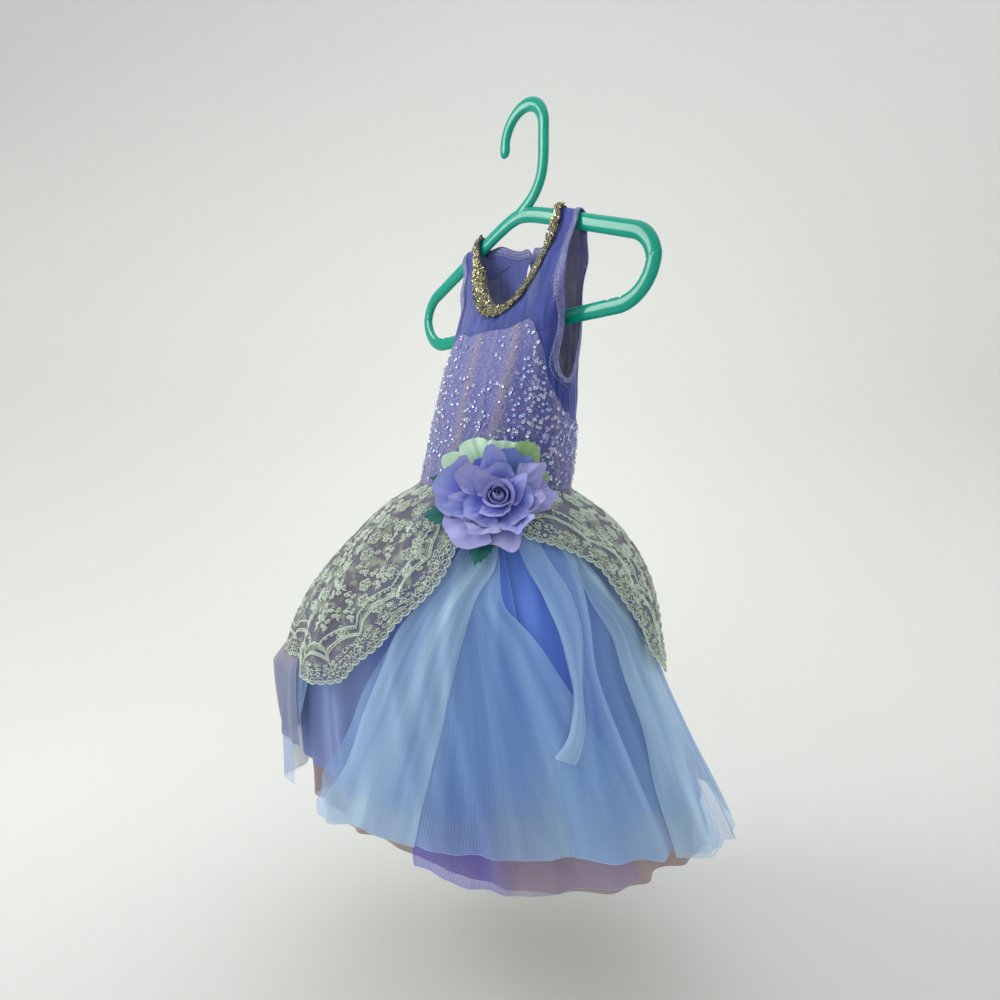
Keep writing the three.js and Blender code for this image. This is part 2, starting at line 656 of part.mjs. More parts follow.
// ---------- hip tier and lace ----------
const LACE_TOP = WAIST - GAP;
const TIER_LEVELS = [-260, -288, -315, -340];
const TIER_FROM = -262;          // its free edges, by the left and by the right of the front
const TIER_TO = -33;
const TIER_COLUMNS = 24;
const TIER_POINTS = [[-52, 9, 52], [-108, 14, 40], [165, 20, 45], [100, 14, 40]];
const TIER_SHORT = -332;
const tierHem = (angle) =>
  TIER_POINTS.reduce((low, [at, width, drop]) => low - drop * dip(angle, at, width), TIER_SHORT);
const easeOut = (level, from, to, reach) => mix(from, to, smooth((LACE_TOP - level) / reach));
const laceOver = (level) => easeOut(level, -LAYERS.sky.waist, 8.4, 18);
const tierOver = (level) => easeOut(level, 0, 3.4, 34);

function spread(layer, lines, over) {
  // A wall over a skirt layer whose lift changes with the level.
  return wall(lines.length - 1, lines[0].length - 1, (i, j, face) => {
    const [angle, level] = lines[i][j];
    return skirt(layer, angle, level, over(level) + face * CLOTH);
  });
}

// Lower edges of the two lace pieces, from the front opening to the middle of the back.
const LACE_RIGHT = [
  { angle: 8, level: -268 },
  { angle: 1, level: -294 },
  { angle: -4, level: -330 },
  { angle: -12, level: -358 },
  { angle: -17, level: -382 },
  { angle: -24, level: -402 },
  { angle: -31, level: -420 },
  { angle: -44, level: -423 },
  { angle: -56, level: -410 },
  { angle: -72, level: -416 },
  { angle: -90, level: -398 },
  { angle: -112, level: -402 },
  { angle: -134, level: -384 },
  { angle: -156, level: -392 },
  { angle: -176, level: -374 },
];
const LACE_LEFT = [
  { angle: 18, level: -268 },
  { angle: 27, level: -282 },
  { angle: 35, level: -287 },
  { angle: 43, level: -294 },
  { angle: 50, level: -304 },
  { angle: 54, level: -324 },
  { angle: 60, level: -352 },
  { angle: 68, level: -384 },
  { angle: 78, level: -402 },
  { angle: 92, level: -392 },
  { angle: 108, level: -402 },
  { angle: 126, level: -384 },
  { angle: 144, level: -392 },
  { angle: 162, level: -374 },
  { angle: 177, level: -376 },
];
const LACE_LEVELS = [LACE_TOP, -250, -260, -288, -340];
const LACE_COLUMNS = 25;
const NARROWEST = 2.5;           // between two lines of a piece where it is short

function shortLines(hem, levels) {
  // Lines of a piece whose hem, as [angle, level] points, rises above some of the levels.
  return [...levels, null].map((top, i) => hem.map(([angle, level]) =>
    [angle, top === null ? level : Math.max(top, level + NARROWEST * (levels.length - i))]));
}

const tierAngles = steps(TIER_COLUMNS).map((j) => mix(TIER_FROM, TIER_TO, j / TIER_COLUMNS));
const tierLines = shortLines(tierAngles.map((angle) => [angle, tierHem(angle)]), TIER_LEVELS);
add("hip_tier", spread(LAYERS.sky, tierLines, tierOver), VIOLET);

for (const [name, edge] of [["lace_right", LACE_RIGHT], ["lace_left", LACE_LEFT]]) {
  const hem = through(edge.map(({ angle, level }) => [angle, level]), LACE_COLUMNS);
  add(name, spread(LAYERS.sky, shortLines(hem, LACE_LEVELS), laceOver), LACE);
}

// ---------- back fastening ----------
const BUTTON = { across: 7, level: -41, radius: 4, thick: 2 };
const LOOP = { radius: 5.2, wide: 1.6, thick: 1.4 };
const ON_BAND = 2 * CLOTH + GAP;

function nearButton(radius, turn, out) {
  const level = BUTTON.level + radius * Math.sin(radians(turn));
  const [angle] = behind([[angleAt(BUTTON.across + radius * Math.cos(radians(turn)), level), level]])[0];
  return cloth(angle, level, out);
}

add("closure_button", wall(1, 10, (i, j, face) =>
  nearButton(i ? BUTTON.radius : 0.8, 36 * j, ON_BAND + face * BUTTON.thick), true), PLASTIC);
add("closure_loop", wall(1, 10, (i, j, face) =>
  nearButton(LOOP.radius + (i - 0.5) * LOOP.wide, 75 + 21 * j, ON_BAND + face * LOOP.thick)), ELASTIC);

// ---------- flower ----------
// A fabric rose on a pad at the waist, with ribbon lobes and leaves behind it.
const FLOWER = { angle: 20, level: -254, out: 11, faces: 44, tilt: 24 };
const FLOWER_BED = { low: 12, high: 15, reach: 48 };  // the body pushes its upper and lower petals out
const sideways = new THREE.Vector3(Math.cos(radians(FLOWER.faces)), Math.sin(radians(FLOWER.faces)), 0);
const flat = new THREE.Vector3(sideways.y, -sideways.x, 0);
const outward = flat.applyAxisAngle(sideways, -radians(FLOWER.tilt));
const upward = new THREE.Vector3().crossVectors(outward, sideways);
const flowerMiddle = cloth(FLOWER.angle, FLOWER.level, FLOWER.out);

function onFlower(radius, turn, height) {
  const sine = Math.sin(radians(turn));
  const most = sine < 0 ? FLOWER_BED.low : FLOWER_BED.high;
  const bed = most * sine * sine * smooth(radius / FLOWER_BED.reach);
  return flowerMiddle.clone()
    .addScaledVector(sideways, radius * Math.cos(radians(turn)))
    .addScaledVector(upward, radius * Math.sin(radians(turn)))
    .addScaledVector(outward, bed + height);
}

// The pad between the body and the flower, flat on the cloth at the back.
const PAD = { near: 3, far: 9, up: 7, front: -1.3 };
const overSeam = (level) => CLOTH + GAP + 6 * smooth((WAIST + 1 - level) / 16);

add("flower_pad", wall(1, 10, (i, j, face) => {
  const radius = i ? PAD.far : PAD.near;
  const x = radius * Math.cos(radians(36 * j));
  const y = PAD.up + radius * Math.sin(radians(36 * j));
  if (face) return onFlower(Math.hypot(x, y), (Math.atan2(y, x) * 180) / Math.PI, PAD.front);
  return cloth(FLOWER.angle + x, FLOWER.level + y, overSeam(FLOWER.level + y));
}, true), LEAF);

// turn: where the petal points, from the right by the top. half: half its spread. near, far: where
// it starts and ends. blunt: how much shorter its sides are.
const PETAL_RINGS = [
  {
    lift: 0, lean: 1.5, cup: 0, rows: 2, columns: 3, material: MINT,
    petals: [
      { name: "green_1", turn: 32, half: 15, near: 9, far: 45, blunt: 0.3 },
      { name: "green_2", turn: 61, half: 15, near: 9, far: 54, blunt: 0.2 },
      { name: "green_3", turn: 86, half: 20, near: 9, far: 48, blunt: 0 },
      { name: "green_4", turn: 119, half: 18, near: 9, far: 57, blunt: 0.2 },
      { name: "green_5", turn: 142, half: 15, near: 9, far: 60, blunt: 0.25 },
    ],
  },
  {
    lift: 0.7, lean: 1.1, cup: 0, rows: 2, columns: 2, material: LEAF,
    petals: [
      { name: "leaf_1", turn: 163, half: 13, near: 9, far: 60, blunt: 0.45 },
      { name: "leaf_2", turn: 191, half: 15, near: 9, far: 63, blunt: 0.45 },
      { name: "leaf_3", turn: 255, half: 19, near: 9, far: 58, blunt: 0.5 },
    ],
  },
  {
    lift: 3.1, lean: 1.05, cup: 5, rows: 3, columns: 4, material: SILK,
    petals: [
      { name: "rose_outer_1", turn: 8, half: 33, near: 6, far: 43, blunt: 0.35 },
      { name: "rose_outer_2", turn: 62, half: 36, near: 6, far: 40, blunt: 0.25 },
      { name: "rose_outer_3", turn: 116, half: 38, near: 6, far: 35, blunt: 0.1 },
      { name: "rose_outer_4", turn: 168, half: 38, near: 6, far: 52, blunt: 0.2 },
      { name: "rose_outer_5", turn: 227, half: 40, near: 6, far: 50, blunt: 0.15 },
      { name: "rose_outer_6", turn: 280, half: 38, near: 6, far: 43, blunt: 0.3 },
    ],
  },
  {
    lift: 5.9, lean: 1.7, cup: 30, rows: 2, columns: 4, material: SILK,
    petals: [
      { name: "rose_middle_1", turn: 335, half: 55, near: 5, far: 29, blunt: 0.2 },
      { name: "rose_middle_2", turn: 85, half: 60, near: 5, far: 25, blunt: 0.15 },
      { name: "rose_middle_3", turn: 215, half: 60, near: 5, far: 29, blunt: 0.15 },
    ],
  },
];
const CUP_FROM = 9;              // petals rise outside this radius

for (const ring of PETAL_RINGS) {
  for (const { name, turn, half, near, far, blunt } of ring.petals) {
    add(name, wall(ring.rows, ring.columns, (i, j, face) => {
      const side = (2 * j) / ring.columns - 1;
      const way = i / ring.rows;
      const radius = mix(near, far * (1 - blunt * side * side), way);
      const spread = side * mix(0.6, 1, way);
      const rise = ring.cup * (Math.max(0, radius - CUP_FROM) / 30) ** 2;
      return onFlower(radius, turn + half * spread, ring.lift + ring.lean * spread + rise + face * CLOTH);
    }), ring.material);
  }
}

// The rolled middle of the rose: one petal wound round itself.
const BUD = { foot: 8.5, top: 24, foot_radius: 7.2, top_radius: 5, turns: 1.25, wind: 2.6 };
add("rose_bud", wall(2, 12, (i, j, face) => {
  const wound = (BUD.wind * j) / 12;
  const radius = mix(BUD.foot_radius, BUD.top_radius, (i / 2) ** 2) - wound + face * CLOTH;
  return onFlower(radius, 200 + 360 * BUD.turns * (j / 12), mix(BUD.foot, BUD.top, i / 2));
}), SILK);

export default costume;
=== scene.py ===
# %% [markdown]
# # A child's dance costume on its hanger
#
# A costume like this is sewn from many small pieces: a sheer stretch-net top, a sequinned
# bodice, a skirt of several tulle layers, two falls of corded lace and a silk rose at the waist.
# The frame we load holds one plain solid for each of them. This notebook dresses every solid
# with thin, folded, see-through cloth in the same place.

# %% Load the frame
import math
import random

import bmesh
import bpy
import numpy as np
from mathutils import Matrix, Vector


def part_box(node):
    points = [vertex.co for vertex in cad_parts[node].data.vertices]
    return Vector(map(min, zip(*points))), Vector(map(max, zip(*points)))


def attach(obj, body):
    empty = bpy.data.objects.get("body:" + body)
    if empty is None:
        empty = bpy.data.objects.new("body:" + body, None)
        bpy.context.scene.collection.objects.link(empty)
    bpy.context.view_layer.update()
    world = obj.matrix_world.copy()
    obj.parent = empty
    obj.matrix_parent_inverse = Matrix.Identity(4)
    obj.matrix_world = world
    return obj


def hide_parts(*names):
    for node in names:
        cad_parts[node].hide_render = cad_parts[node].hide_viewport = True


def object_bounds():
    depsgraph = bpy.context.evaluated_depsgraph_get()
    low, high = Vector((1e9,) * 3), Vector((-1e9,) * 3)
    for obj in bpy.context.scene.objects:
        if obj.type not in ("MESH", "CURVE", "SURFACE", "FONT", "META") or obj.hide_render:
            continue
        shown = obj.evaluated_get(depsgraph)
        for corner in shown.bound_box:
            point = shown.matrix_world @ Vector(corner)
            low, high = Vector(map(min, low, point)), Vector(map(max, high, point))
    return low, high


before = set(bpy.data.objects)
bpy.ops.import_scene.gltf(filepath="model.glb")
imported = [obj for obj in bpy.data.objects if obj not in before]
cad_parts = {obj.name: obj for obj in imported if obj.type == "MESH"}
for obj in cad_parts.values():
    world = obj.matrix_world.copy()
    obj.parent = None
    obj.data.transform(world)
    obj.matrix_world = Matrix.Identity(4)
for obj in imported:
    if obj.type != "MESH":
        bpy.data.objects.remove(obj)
cad_low, cad_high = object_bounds()
chance = random.Random(7)
dice = np.random.default_rng(11)
print("frame pieces:", len(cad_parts), "box", tuple(cad_low), tuple(cad_high))

# %% [markdown]
# ## Where the pattern sits
#
# A dressmaker measures down from the shoulders. We do the same: all pattern sizes below are in
# millimetres from the point where the two arms of the hanger would meet. That point is found
# from the hanger in the frame, so the cloth always lands on it.

# %% Pattern origin
BAR_DROP = 101.0        # hanger's bottom bar below the arms' meeting point
TUBE_WIDE, TUBE_DEEP = 12.6, 6.4                        # the hanger's flat-oval tube
GAP, CLOTH, WAIST = 0.3, 1.0, -243.0                    # seam gap, cloth thickness, waist level
hanger_low, hanger_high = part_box("hanger")
PATTERN_ORIGIN = np.array([
    (hanger_low.x + hanger_high.x) / 2,
    (hanger_low.y + hanger_high.y) / 2,
    hanger_low.z + (BAR_DROP + TUBE_WIDE / 2) / 1000,
])


def placed(points):
    """Pattern millimetres to metres in the frame."""
    return np.asarray(points, float) / 1000 + PATTERN_ORIGIN


print("arms meet at", PATTERN_ORIGIN.round(4))

# %% [markdown]
# ## The shared surface of the cloth
#
# Every layer of a garment follows the same body, only a little further out. So one function
# gives a point of the body from an angle round it (0 in front, 90 at the wearer's left) and a
# level down it, and `out` moves a layer away from it. The table is the same as the frame's:
# one section of the hanging costume in each row. `turn` swings a section round, because the
# costume has twisted on its hanger, and `follow` lets the upper levels slope like the shoulders.

# %% Sections of the hanging costume
SECTION_COLUMNS = ["level", "wide", "front", "back", "square", "across", "along", "turn",
                   "follow", "tip"]
SECTIONS = np.array([
    [0, 98, 5, 5, 6, 0, 0, 0, 1, 0],
    [-30, 86, 11, 9, 5, 0, 0, -3, 0.85, 0],
    [-60, 75, 16, 14, 4.5, 0, 0, -4, 0.55, 0],
    [-95, 70, 26, 19, 4, 0, 0, -1, 0.2, 0],
    [-150, 70, 34, 34, 3, -4, -8, 6, 0, 0],
    [-203, 72, 42, 42, 2.4, -7, -11, 17, 0, 0],
    [-237, 72.5, 47, 47, 2.2, -10, -13.5, 24, 0, 0],
    [-243, 73, 48, 48, 2.2, -11, -14, 25, 0, 0],
    [-275, 108, 73, 73, 2, -12, -14, 30, 0, 0.05],
    [-310, 135, 90, 90, 2, -14, -16, 33, 0, 0.09],
    [-350, 156, 104, 104, 2, -18, -22, 36, 0, 0.12],
    [-400, 171, 113, 113, 2, -21, -25, 38, 0, 0.15],
    [-470, 191, 124, 124, 2, -13, -16, 40, 0, 0.17],
    [-550, 211, 137, 137, 2, 1, 2, 40, 0, 0.17],
    [-610, 222, 144, 144, 2, 8, 10, 40, 0, 0.17],
], float)
ARM_SLOPE, PEAK_ROUND = 0.397, 15.0                     # the hanger's arms and their rounded peak
SEAM_RISE, ARM_CLEAR = 8.1, 4.2                         # cloth above and beside the arm's middle
ARM_EASE = 35                                           # depth over which the cloth leaves the arm
NECK_DISH, NECK_DISH_REACH, CHEST = 8.0, 22.0, -110.0


def mix(a, b, t):
    return a + (b - a) * t


def clamp01(t):
    return np.clip(t, 0.0, 1.0)


def smooth(t):
    t = clamp01(t)
    return t * t * (3 - 2 * t)


def unit(vectors):
    """The same directions, one unit long."""
    return vectors / np.maximum(np.linalg.norm(vectors, axis=-1, keepdims=True), 1e-9)


def hermite(t, a, b, leaving, arriving):
    """A smooth way from a to b that leaves and arrives with the given slopes."""
    return (a * (1 - 3 * t**2 + 2 * t**3) + leaving * (t - 2 * t**2 + t**3)
            + b * (3 * t**2 - 2 * t**3) + arriving * (t**3 - t**2))


def look_up(table, column, level):
    """A smooth curve through one column of a table whose first column falls from row to row."""
    levels, values = table[:, 0], table[:, column]
    rows = np.arange(len(levels))
    above, below = np.maximum(rows - 1, 0), np.minimum(rows + 1, rows[-1])
    slopes = (values[above] - values[below]) / (levels[above] - levels[below])
    level = np.clip(np.asarray(level, float), levels[-1], levels[0])
    i = np.clip(np.searchsorted(-levels, -level, side="right") - 1, 0, rows[-2])
    run = levels[i + 1] - levels[i]
    return hermite((level - levels[i]) / run, values[i], values[i + 1], slopes[i] * run,
                   slopes[i + 1] * run)


def section(level):
    return {name: look_up(SECTIONS, k, level) for k, name in enumerate(SECTION_COLUMNS) if k}


def arm_height(x):
    return -ARM_SLOPE * np.hypot(x, PEAK_ROUND)


print("sections:", len(SECTIONS), "waist", section(WAIST)["wide"] * 2, "mm wide")

# %% [markdown]
# The front of the neck lies a little back from the chest, like a shallow dish along the neck
# edge. The edge is a short list of points, and a smooth line is drawn through them.

# %% Neck edge
NECK_HALF = [(-48, -20.2), (-46, -30), (-41, -42), (-34.5, -55.5), (-23, -71.5), (-11, -81.5),
             (0, -84.5)]
NECK_STATIONS = 14


def through(points, count):
    """A smooth centripetal line through points, cut into count equal lengths."""
    stops = np.asarray(points, float)
    stops = np.vstack([2 * stops[0] - stops[1], stops, 2 * stops[-1] - stops[-2]])
    t = np.linspace(0, 1, 41)[:-1, None]
    fine = []
    for p0, p1, p2, p3 in zip(stops, stops[1:], stops[2:], stops[3:]):
        d0, d1, d2 = (max(np.linalg.norm(b - a) ** 0.5, 1e-4)
                      for a, b in ((p0, p1), (p1, p2), (p2, p3)))
        leaving = ((p1 - p0) / d0 - (p2 - p0) / (d0 + d1) + (p2 - p1) / d1) * d1
        arriving = ((p2 - p1) / d1 - (p3 - p1) / (d1 + d2) + (p3 - p2) / d2) * d1
        fine.append(hermite(t, p1, p2, leaving, arriving))
    fine = np.vstack([*fine, stops[-2]])
    way = np.concatenate([[0], np.cumsum(np.linalg.norm(np.diff(fine, axis=0), axis=1))])
    at = np.linspace(0, way[-1], count + 1)
    return np.stack([np.interp(at, way, column) for column in fine.T], axis=1)


NECK_LINE = through(NECK_HALF + [(-x, z) for x, z in NECK_HALF[-2::-1]], 2 * NECK_STATIONS)


def neck_dish(x, z):
    away = np.full(x.shape, 1e6)
    for nx, nz in NECK_LINE:
        away = np.minimum(away, np.hypot(x - nx, z - nz))
    below_arm = smooth((arm_height(x) - 12 - z) / 16)
    return np.where(z > CHEST, NECK_DISH * below_arm * clamp01(1 - away / NECK_DISH_REACH) ** 2, 0)


print("neck edge:", len(NECK_LINE), "points, lowest", NECK_LINE[:, 1].min().round(1), "mm")

# %% [markdown]
# Now the body itself. Each section is a rounded box that grows and turns on its way down.
# Above level 0 the cloth bends over the hanger's arm instead.

# %% The cloth surface
def cloth(angle, level, out=0.0):
    """Points of the body in pattern millimetres."""
    angle, level, out = np.broadcast_arrays(*(np.asarray(v, float) for v in (angle, level, out)))
    s = section(level)
    sine, cosine = np.sin(np.radians(angle)), np.cos(np.radians(angle))
    reach = (abs(sine) ** s["square"] + abs(cosine) ** s["square"]) ** (-1 / s["square"])
    side = np.where(cosine >= 0, -1.0, 1.0)
    x = (s["wide"] + out) * reach * sine
    bend = math.pi / 2 * level / SEAM_RISE
    over = np.stack([x, side * (ARM_CLEAR + out) * np.cos(bend),
                     arm_height(x) + (SEAM_RISE + out) * np.sin(bend)], axis=-1)
    body = ((s["front"] + s["back"]) / 2 + out) * reach * abs(cosine)
    y = side * mix(ARM_CLEAR + out, body, smooth(-level / ARM_EASE))
    z = level + s["follow"] * arm_height(x) - s["tip"] * y
    y = np.where(side < 0, y + neck_dish(x, z), y)
    turn = np.radians(s["turn"])
    below = np.stack([s["across"] + x * np.cos(turn) - y * np.sin(turn),
                      s["along"] + (s["back"] - s["front"]) / 2 + x * np.sin(turn)
                      + y * np.cos(turn), z], axis=-1)
    return np.where((level > 0)[..., None], over, below)


def angle_at(x, level):
    """The angle at which the body is x millimetres from its middle, at that level."""
    s = section(level)
    share = abs(x) / s["wide"]
    return np.sign(x) * np.degrees(np.arctan2(share, (1 - share ** s["square"])
                                              ** (1 / s["square"])))


def lengths(points, axis):
    """Running length along a grid, in metres."""
    step = np.linalg.norm(np.diff(points, axis=axis), axis=-1)
    zero = np.zeros_like(np.take(step, [0], axis=axis))
    return np.concatenate([zero, np.cumsum(step, axis=axis)], axis=axis) / 1000


waist_round = lengths(cloth(np.arange(0, 361, 2), WAIST), 0)[-1]
print("waist round:", round(waist_round * 1000), "mm")

# %% [markdown]
# ## Making meshes
#
# Almost every piece is a grid of points: rows down the cloth, columns across it. Small helpers
# turn such grids into Blender meshes. A sheet of tulle or net is a single layer of faces, so
# each ray of light meets it only once. Its UV map is in metres of cloth, so that a weave has
# its real size.

# %% Mesh helpers
costume = []


def new_piece(name, vertices, faces, finish, uv=None, colour=None, shade_smooth=True):
    mesh = bpy.data.meshes.new(name)
    mesh.from_pydata(np.asarray(vertices).tolist(), [], list(faces))
    if shade_smooth:
        mesh.polygons.foreach_set("use_smooth", np.ones(len(mesh.polygons), bool))
    corners = np.empty(len(mesh.loops), int)
    mesh.loops.foreach_get("vertex_index", corners)
    if uv is not None:
        mesh.uv_layers.new(name="cloth").data.foreach_set("uv", np.asarray(uv)[corners].ravel())
    if colour is not None:
        layer = mesh.color_attributes.new("dye", "FLOAT_COLOR", "POINT")
        layer.data.foreach_set("color", np.column_stack([colour, np.ones(len(colour))]).ravel())
    mesh.materials.append(finish)
    piece = bpy.data.objects.new(name, mesh)
    bpy.context.scene.collection.objects.link(piece)
    costume.append(piece)
    return piece


def grid_faces(rows, columns, ring=False):
    """Four-sided faces of a grid. In a ring, the last column meets the first."""
    wide = columns if ring else columns + 1
    i, j = np.meshgrid(np.arange(rows), np.arange(columns), indexing="ij")
    after = (j + 1) % wide if ring else j + 1
    return np.stack([i * wide + j, i * wide + after, (i + 1) * wide + after, (i + 1) * wide + j],
                    axis=-1).reshape(-1, 4)


def tube_faces(rings, sides, closed=False):
    """Faces of a tube. Its two ends meet, or each gets a cap."""
    if closed:
        return (grid_faces(rings, sides, ring=True) % (rings * sides)).tolist()
    caps = [list(range(sides))[::-1], list(range((rings - 1) * sides, rings * sides))]
    return grid_faces(rings - 1, sides, ring=True).tolist() + caps


def fix_normals(piece):
    """Turns every face of a closed piece outward."""
    shape = bmesh.new()
    shape.from_mesh(piece.data)
    bmesh.ops.recalc_face_normals(shape, faces=shape.faces)
    shape.to_mesh(piece.data)
    shape.free()


print("mesh helpers ready, cloth", CLOTH, "mm thick")

# %% [markdown]
# A sheet's UV map holds its lengths, measured along its own rows and
# columns, so that gathers and folds are laid out flat.

sheet_grids = {}          # the grid of points of every sheet, for its cut edges


def belongs(piece, slot, *nodes):
    """A piece rides on the only body and stands for its CAD nodes. Its finish slot is not used."""
    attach(piece, "root")
    if nodes:
        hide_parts(*nodes)


def sheet(name, points, finish, slot, *nodes, held="gathered", ring=False, colour=None, every=1,
          rests_on=()):
    """One sheet of cloth through a grid of points, with its lengths as its UV map."""
    rows, wide = points.shape[:2]
    across = np.broadcast_to(lengths(points, 1).mean(axis=0), (rows, wide))
    uv = np.stack([across, lengths(points, 0)], axis=-1).reshape(-1, 2)
    if colour is not None:
        colour = np.broadcast_to(colour, points.shape).reshape(-1, 3)
    piece = new_piece(name, placed(points).reshape(-1, 3),
                      grid_faces(rows - 1, wide if ring else wide - 1, ring).tolist(), finish, uv,
                      colour)
    if ring:
        points = np.concatenate([points, points[:, :1]], axis=1)
    sheet_grids[name] = points
    belongs(piece, slot, *nodes)


# %% [markdown]
# ## Finishes
#
# Each finish is a procedural material: node textures in cloth metres (the UV map) or in frame
# metres (object coordinates) give weave, thread and dye their real scale. A small builder keeps
# the node code short. Values that are the same all over are set on the shader's own sockets.

# %% Node builder
BLACK, WHITE = (0, 0, 0, 1), (1, 1, 1, 1)


def dye(red, green, blue):
    """A screen colour, 0 to 255, as the linear colour that the shader needs."""
    return tuple((c / 255 / 12.92 if c <= 10 else ((c / 255 + 0.055) / 1.055) ** 2.4)
                 for c in (red, green, blue)) + (1.0,)


def dyes(*colours):
    """The same for several colours, as rows of red, green and blue that can be mixed."""
    return np.array([dye(*colour)[:3] for colour in colours])


def darker(colour, share):
    return tuple(share * c for c in dye(*colour)[:3]) + (1,)


class Finish:
    """One material, with short calls for its nodes."""

    def __init__(self, name, **sockets):
        self.material = bpy.data.materials.new(name)
        self.material.use_nodes = True
        self.tree = self.material.node_tree
        self.shader = self.tree.nodes["Principled BSDF"]
        for socket, value in sockets.items():
            self.shader.inputs[socket.replace("_", " ")].default_value = value
        self.places = self.tree.nodes.new("ShaderNodeTexCoord")

    def give(self, inlet, value):
        if isinstance(value, bpy.types.NodeSocket):
            self.tree.links.new(value, inlet)
        else:
            inlet.default_value = value

    def node(self, kind, inputs, **settings):
        made = self.tree.nodes.new("ShaderNode" + kind)
        for key, value in settings.items():
            setattr(made, key, value)
        for key, value in inputs.items():
            self.give(made.inputs[key], value)
        return made

    def feed(self, socket, value):
        self.give(self.shader.inputs[socket], value)

    def stretched(self, scale=(1, 1, 1), space="UV", **more):
        return self.node("Mapping", {"Vector": self.places.outputs[space], "Scale": scale,
                                     **more}).outputs["Vector"]

    def noise(self, scale, space="Object", detail=3.0, stretch=(1, 1, 1), distortion=0.0):
        return self.node("TexNoise", {"Vector": self.stretched(stretch, space), "Scale": scale,
                                      "Detail": detail, "Distortion": distortion}).outputs["Fac"]

    def bands(self, scale, direction="X", stretch=(1, 1, 1), **more):
        return self.node("TexWave", {"Vector": self.stretched(stretch), "Scale": scale, **more},
                         bands_direction=direction).outputs["Fac"]

    def threads(self, scale, randomness):
        """Distance to the nearest thread of a net with that many cells to the metre."""
        return self.node("TexVoronoi", {"Vector": self.stretched(), "Scale": scale,
                                        "Randomness": randomness},
                         feature="DISTANCE_TO_EDGE").outputs["Distance"]

    def step(self, value, low, high, start=BLACK, end=WHITE):
        """Start colour up to low, end colour from high on."""
        made = self.node("ValToRGB", {"Fac": value})
        for element, place, colour in zip(made.color_ramp.elements, (low, high), (start, end)):
            element.position, element.color = place, colour
        return made.outputs["Color"]

    def add(self, a, b):
        return self.node("Math", {0: a, 1: b}, operation="ADD").outputs["Value"]

    def times(self, a, b):
        return self.node("Math", {0: a, 1: b}, operation="MULTIPLY").outputs["Value"]

    def between(self, value, low, high):
        return self.node("MapRange", {"Value": value, "To Min": low,
                                      "To Max": high}).outputs["Result"]

    def blend(self, share, a, b):
        made = self.node("Mix", {}, data_type="RGBA")
        sockets = {inlet.identifier: inlet for inlet in made.inputs}
        for name, value in (("Factor_Float", share), ("A_Color", a), ("B_Color", b)):
            self.give(sockets[name], value)
        return next(o for o in made.outputs if o.identifier == "Result_Color")

    def attribute(self):
        return self.node("Attribute", {}, attribute_name="dye").outputs["Color"]

    def bump(self, height, distance, strength=1.0):
        raised = self.node("Bump", {"Height": height, "Distance": distance, "Strength": strength})
        self.feed("Normal", raised.outputs["Normal"])


print("half-bright screen grey is", round(dye(128, 128, 128)[0], 3), "of full light")

# %% [markdown]
# Tulle is a hexagonal net of fine nylon. From an arm's length the holes melt into a haze, so
# the cloth is part see-through, with a faint bright sheen where it turns away from us. The
# material keeps both: an opacity with the net's fine grid in it, streaks that hang down the
# cloth, cloudy changes where layers touch, and a soft sheen.

# %% Tulle and net finishes
def tulle(name, colour, deep, opacity, moire=0.0, cell=0.0011, streak=0.3, dyed=0.0, stripes=34.0,
          space="UV"):
    made = Finish(name, Roughness=0.55, Sheen_Weight=0.35, Sheen_Roughness=0.35,
                  Specular_IOR_Level=0.25, Sheen_Tint=dye(225, 235, 255))
    colour, deep = dye(*colour), dye(*deep)
    clouds = made.noise(9.0, detail=2.0, stretch=(1, 1, 0.45))
    downward = (1, 0.05, 1) if space == "UV" else (1, 1, 0.06)
    hanging = made.step(made.noise(stripes, space, stretch=downward, distortion=0.3), 0.36, 0.62)
    tone = made.blend(made.add(made.times(hanging, 0.6), made.between(clouds, -0.05, 0.45)),
                      deep, colour)
    if dyed:
        tone = made.blend(dyed, tone, made.attribute())
    if moire:                                           # rings where two nets overlap
        rings = made.bands(105.0, "DIAGONAL", (1, 0.75, 1), Distortion=3.2, Detail=1.0,
                           **{"Detail Scale": 0.35})
        patch = made.step(made.noise(7.5, "UV", detail=1.0), 0.50, 0.66)
        tone = made.blend(made.times(made.times(rings, patch), moire), tone, deep)
    made.feed("Base Color", tone)
    net = made.step(made.threads(1 / cell, 0.12), 0.10, 0.30, WHITE, BLACK)
    haze = made.add(made.times(net, 0.20), made.between(clouds, opacity - 0.12, opacity + 0.04))
    made.feed("Alpha", made.add(haze, made.between(hanging, -streak / 2, streak / 2)))
    made.bump(made.add(made.times(hanging, 6.0), net), 0.0001, 0.5)
    return made.material


SKY = tulle("sky_tulle", (178, 216, 248), (122, 166, 232), 0.43, moire=0.3)
SKY_FOLD = tulle("sky_tulle_doubled", (198, 230, 252), (166, 206, 246), 0.46, streak=0.4,
                 stripes=48.0)
ROYAL = tulle("royal_tulle", (128, 162, 240), (72, 102, 212), 0.90, dyed=0.6, streak=0.1,
              stripes=26.0)
VIOLET = tulle("violet_tulle", (140, 132, 196), (92, 96, 196), 0.62, stripes=16.0, dyed=0.85)
ORGANZA = tulle("side_organza", (150, 152, 176), (116, 120, 150), 0.60, dyed=0.5, stripes=14.0)
TIER_VIOLET = tulle("tier_tulle", (136, 146, 184), (96, 110, 164), 0.62)
NUDE = tulle("nude_tulle", (186, 164, 162), (152, 134, 140), 0.86)
STRETCH_NET = tulle("stretch_net", (72, 86, 168), (36, 50, 124), 0.88, cell=0.0008, streak=0.08,
                    stripes=150.0, space="Object")
print("tulle finishes:", [m.name for m in bpy.data.materials])

# %% [markdown]
# ## Camera, light and stage
#
# The costume was seen from close by, a little to its left, so the camera has a wide lens and
# stands half a metre away.

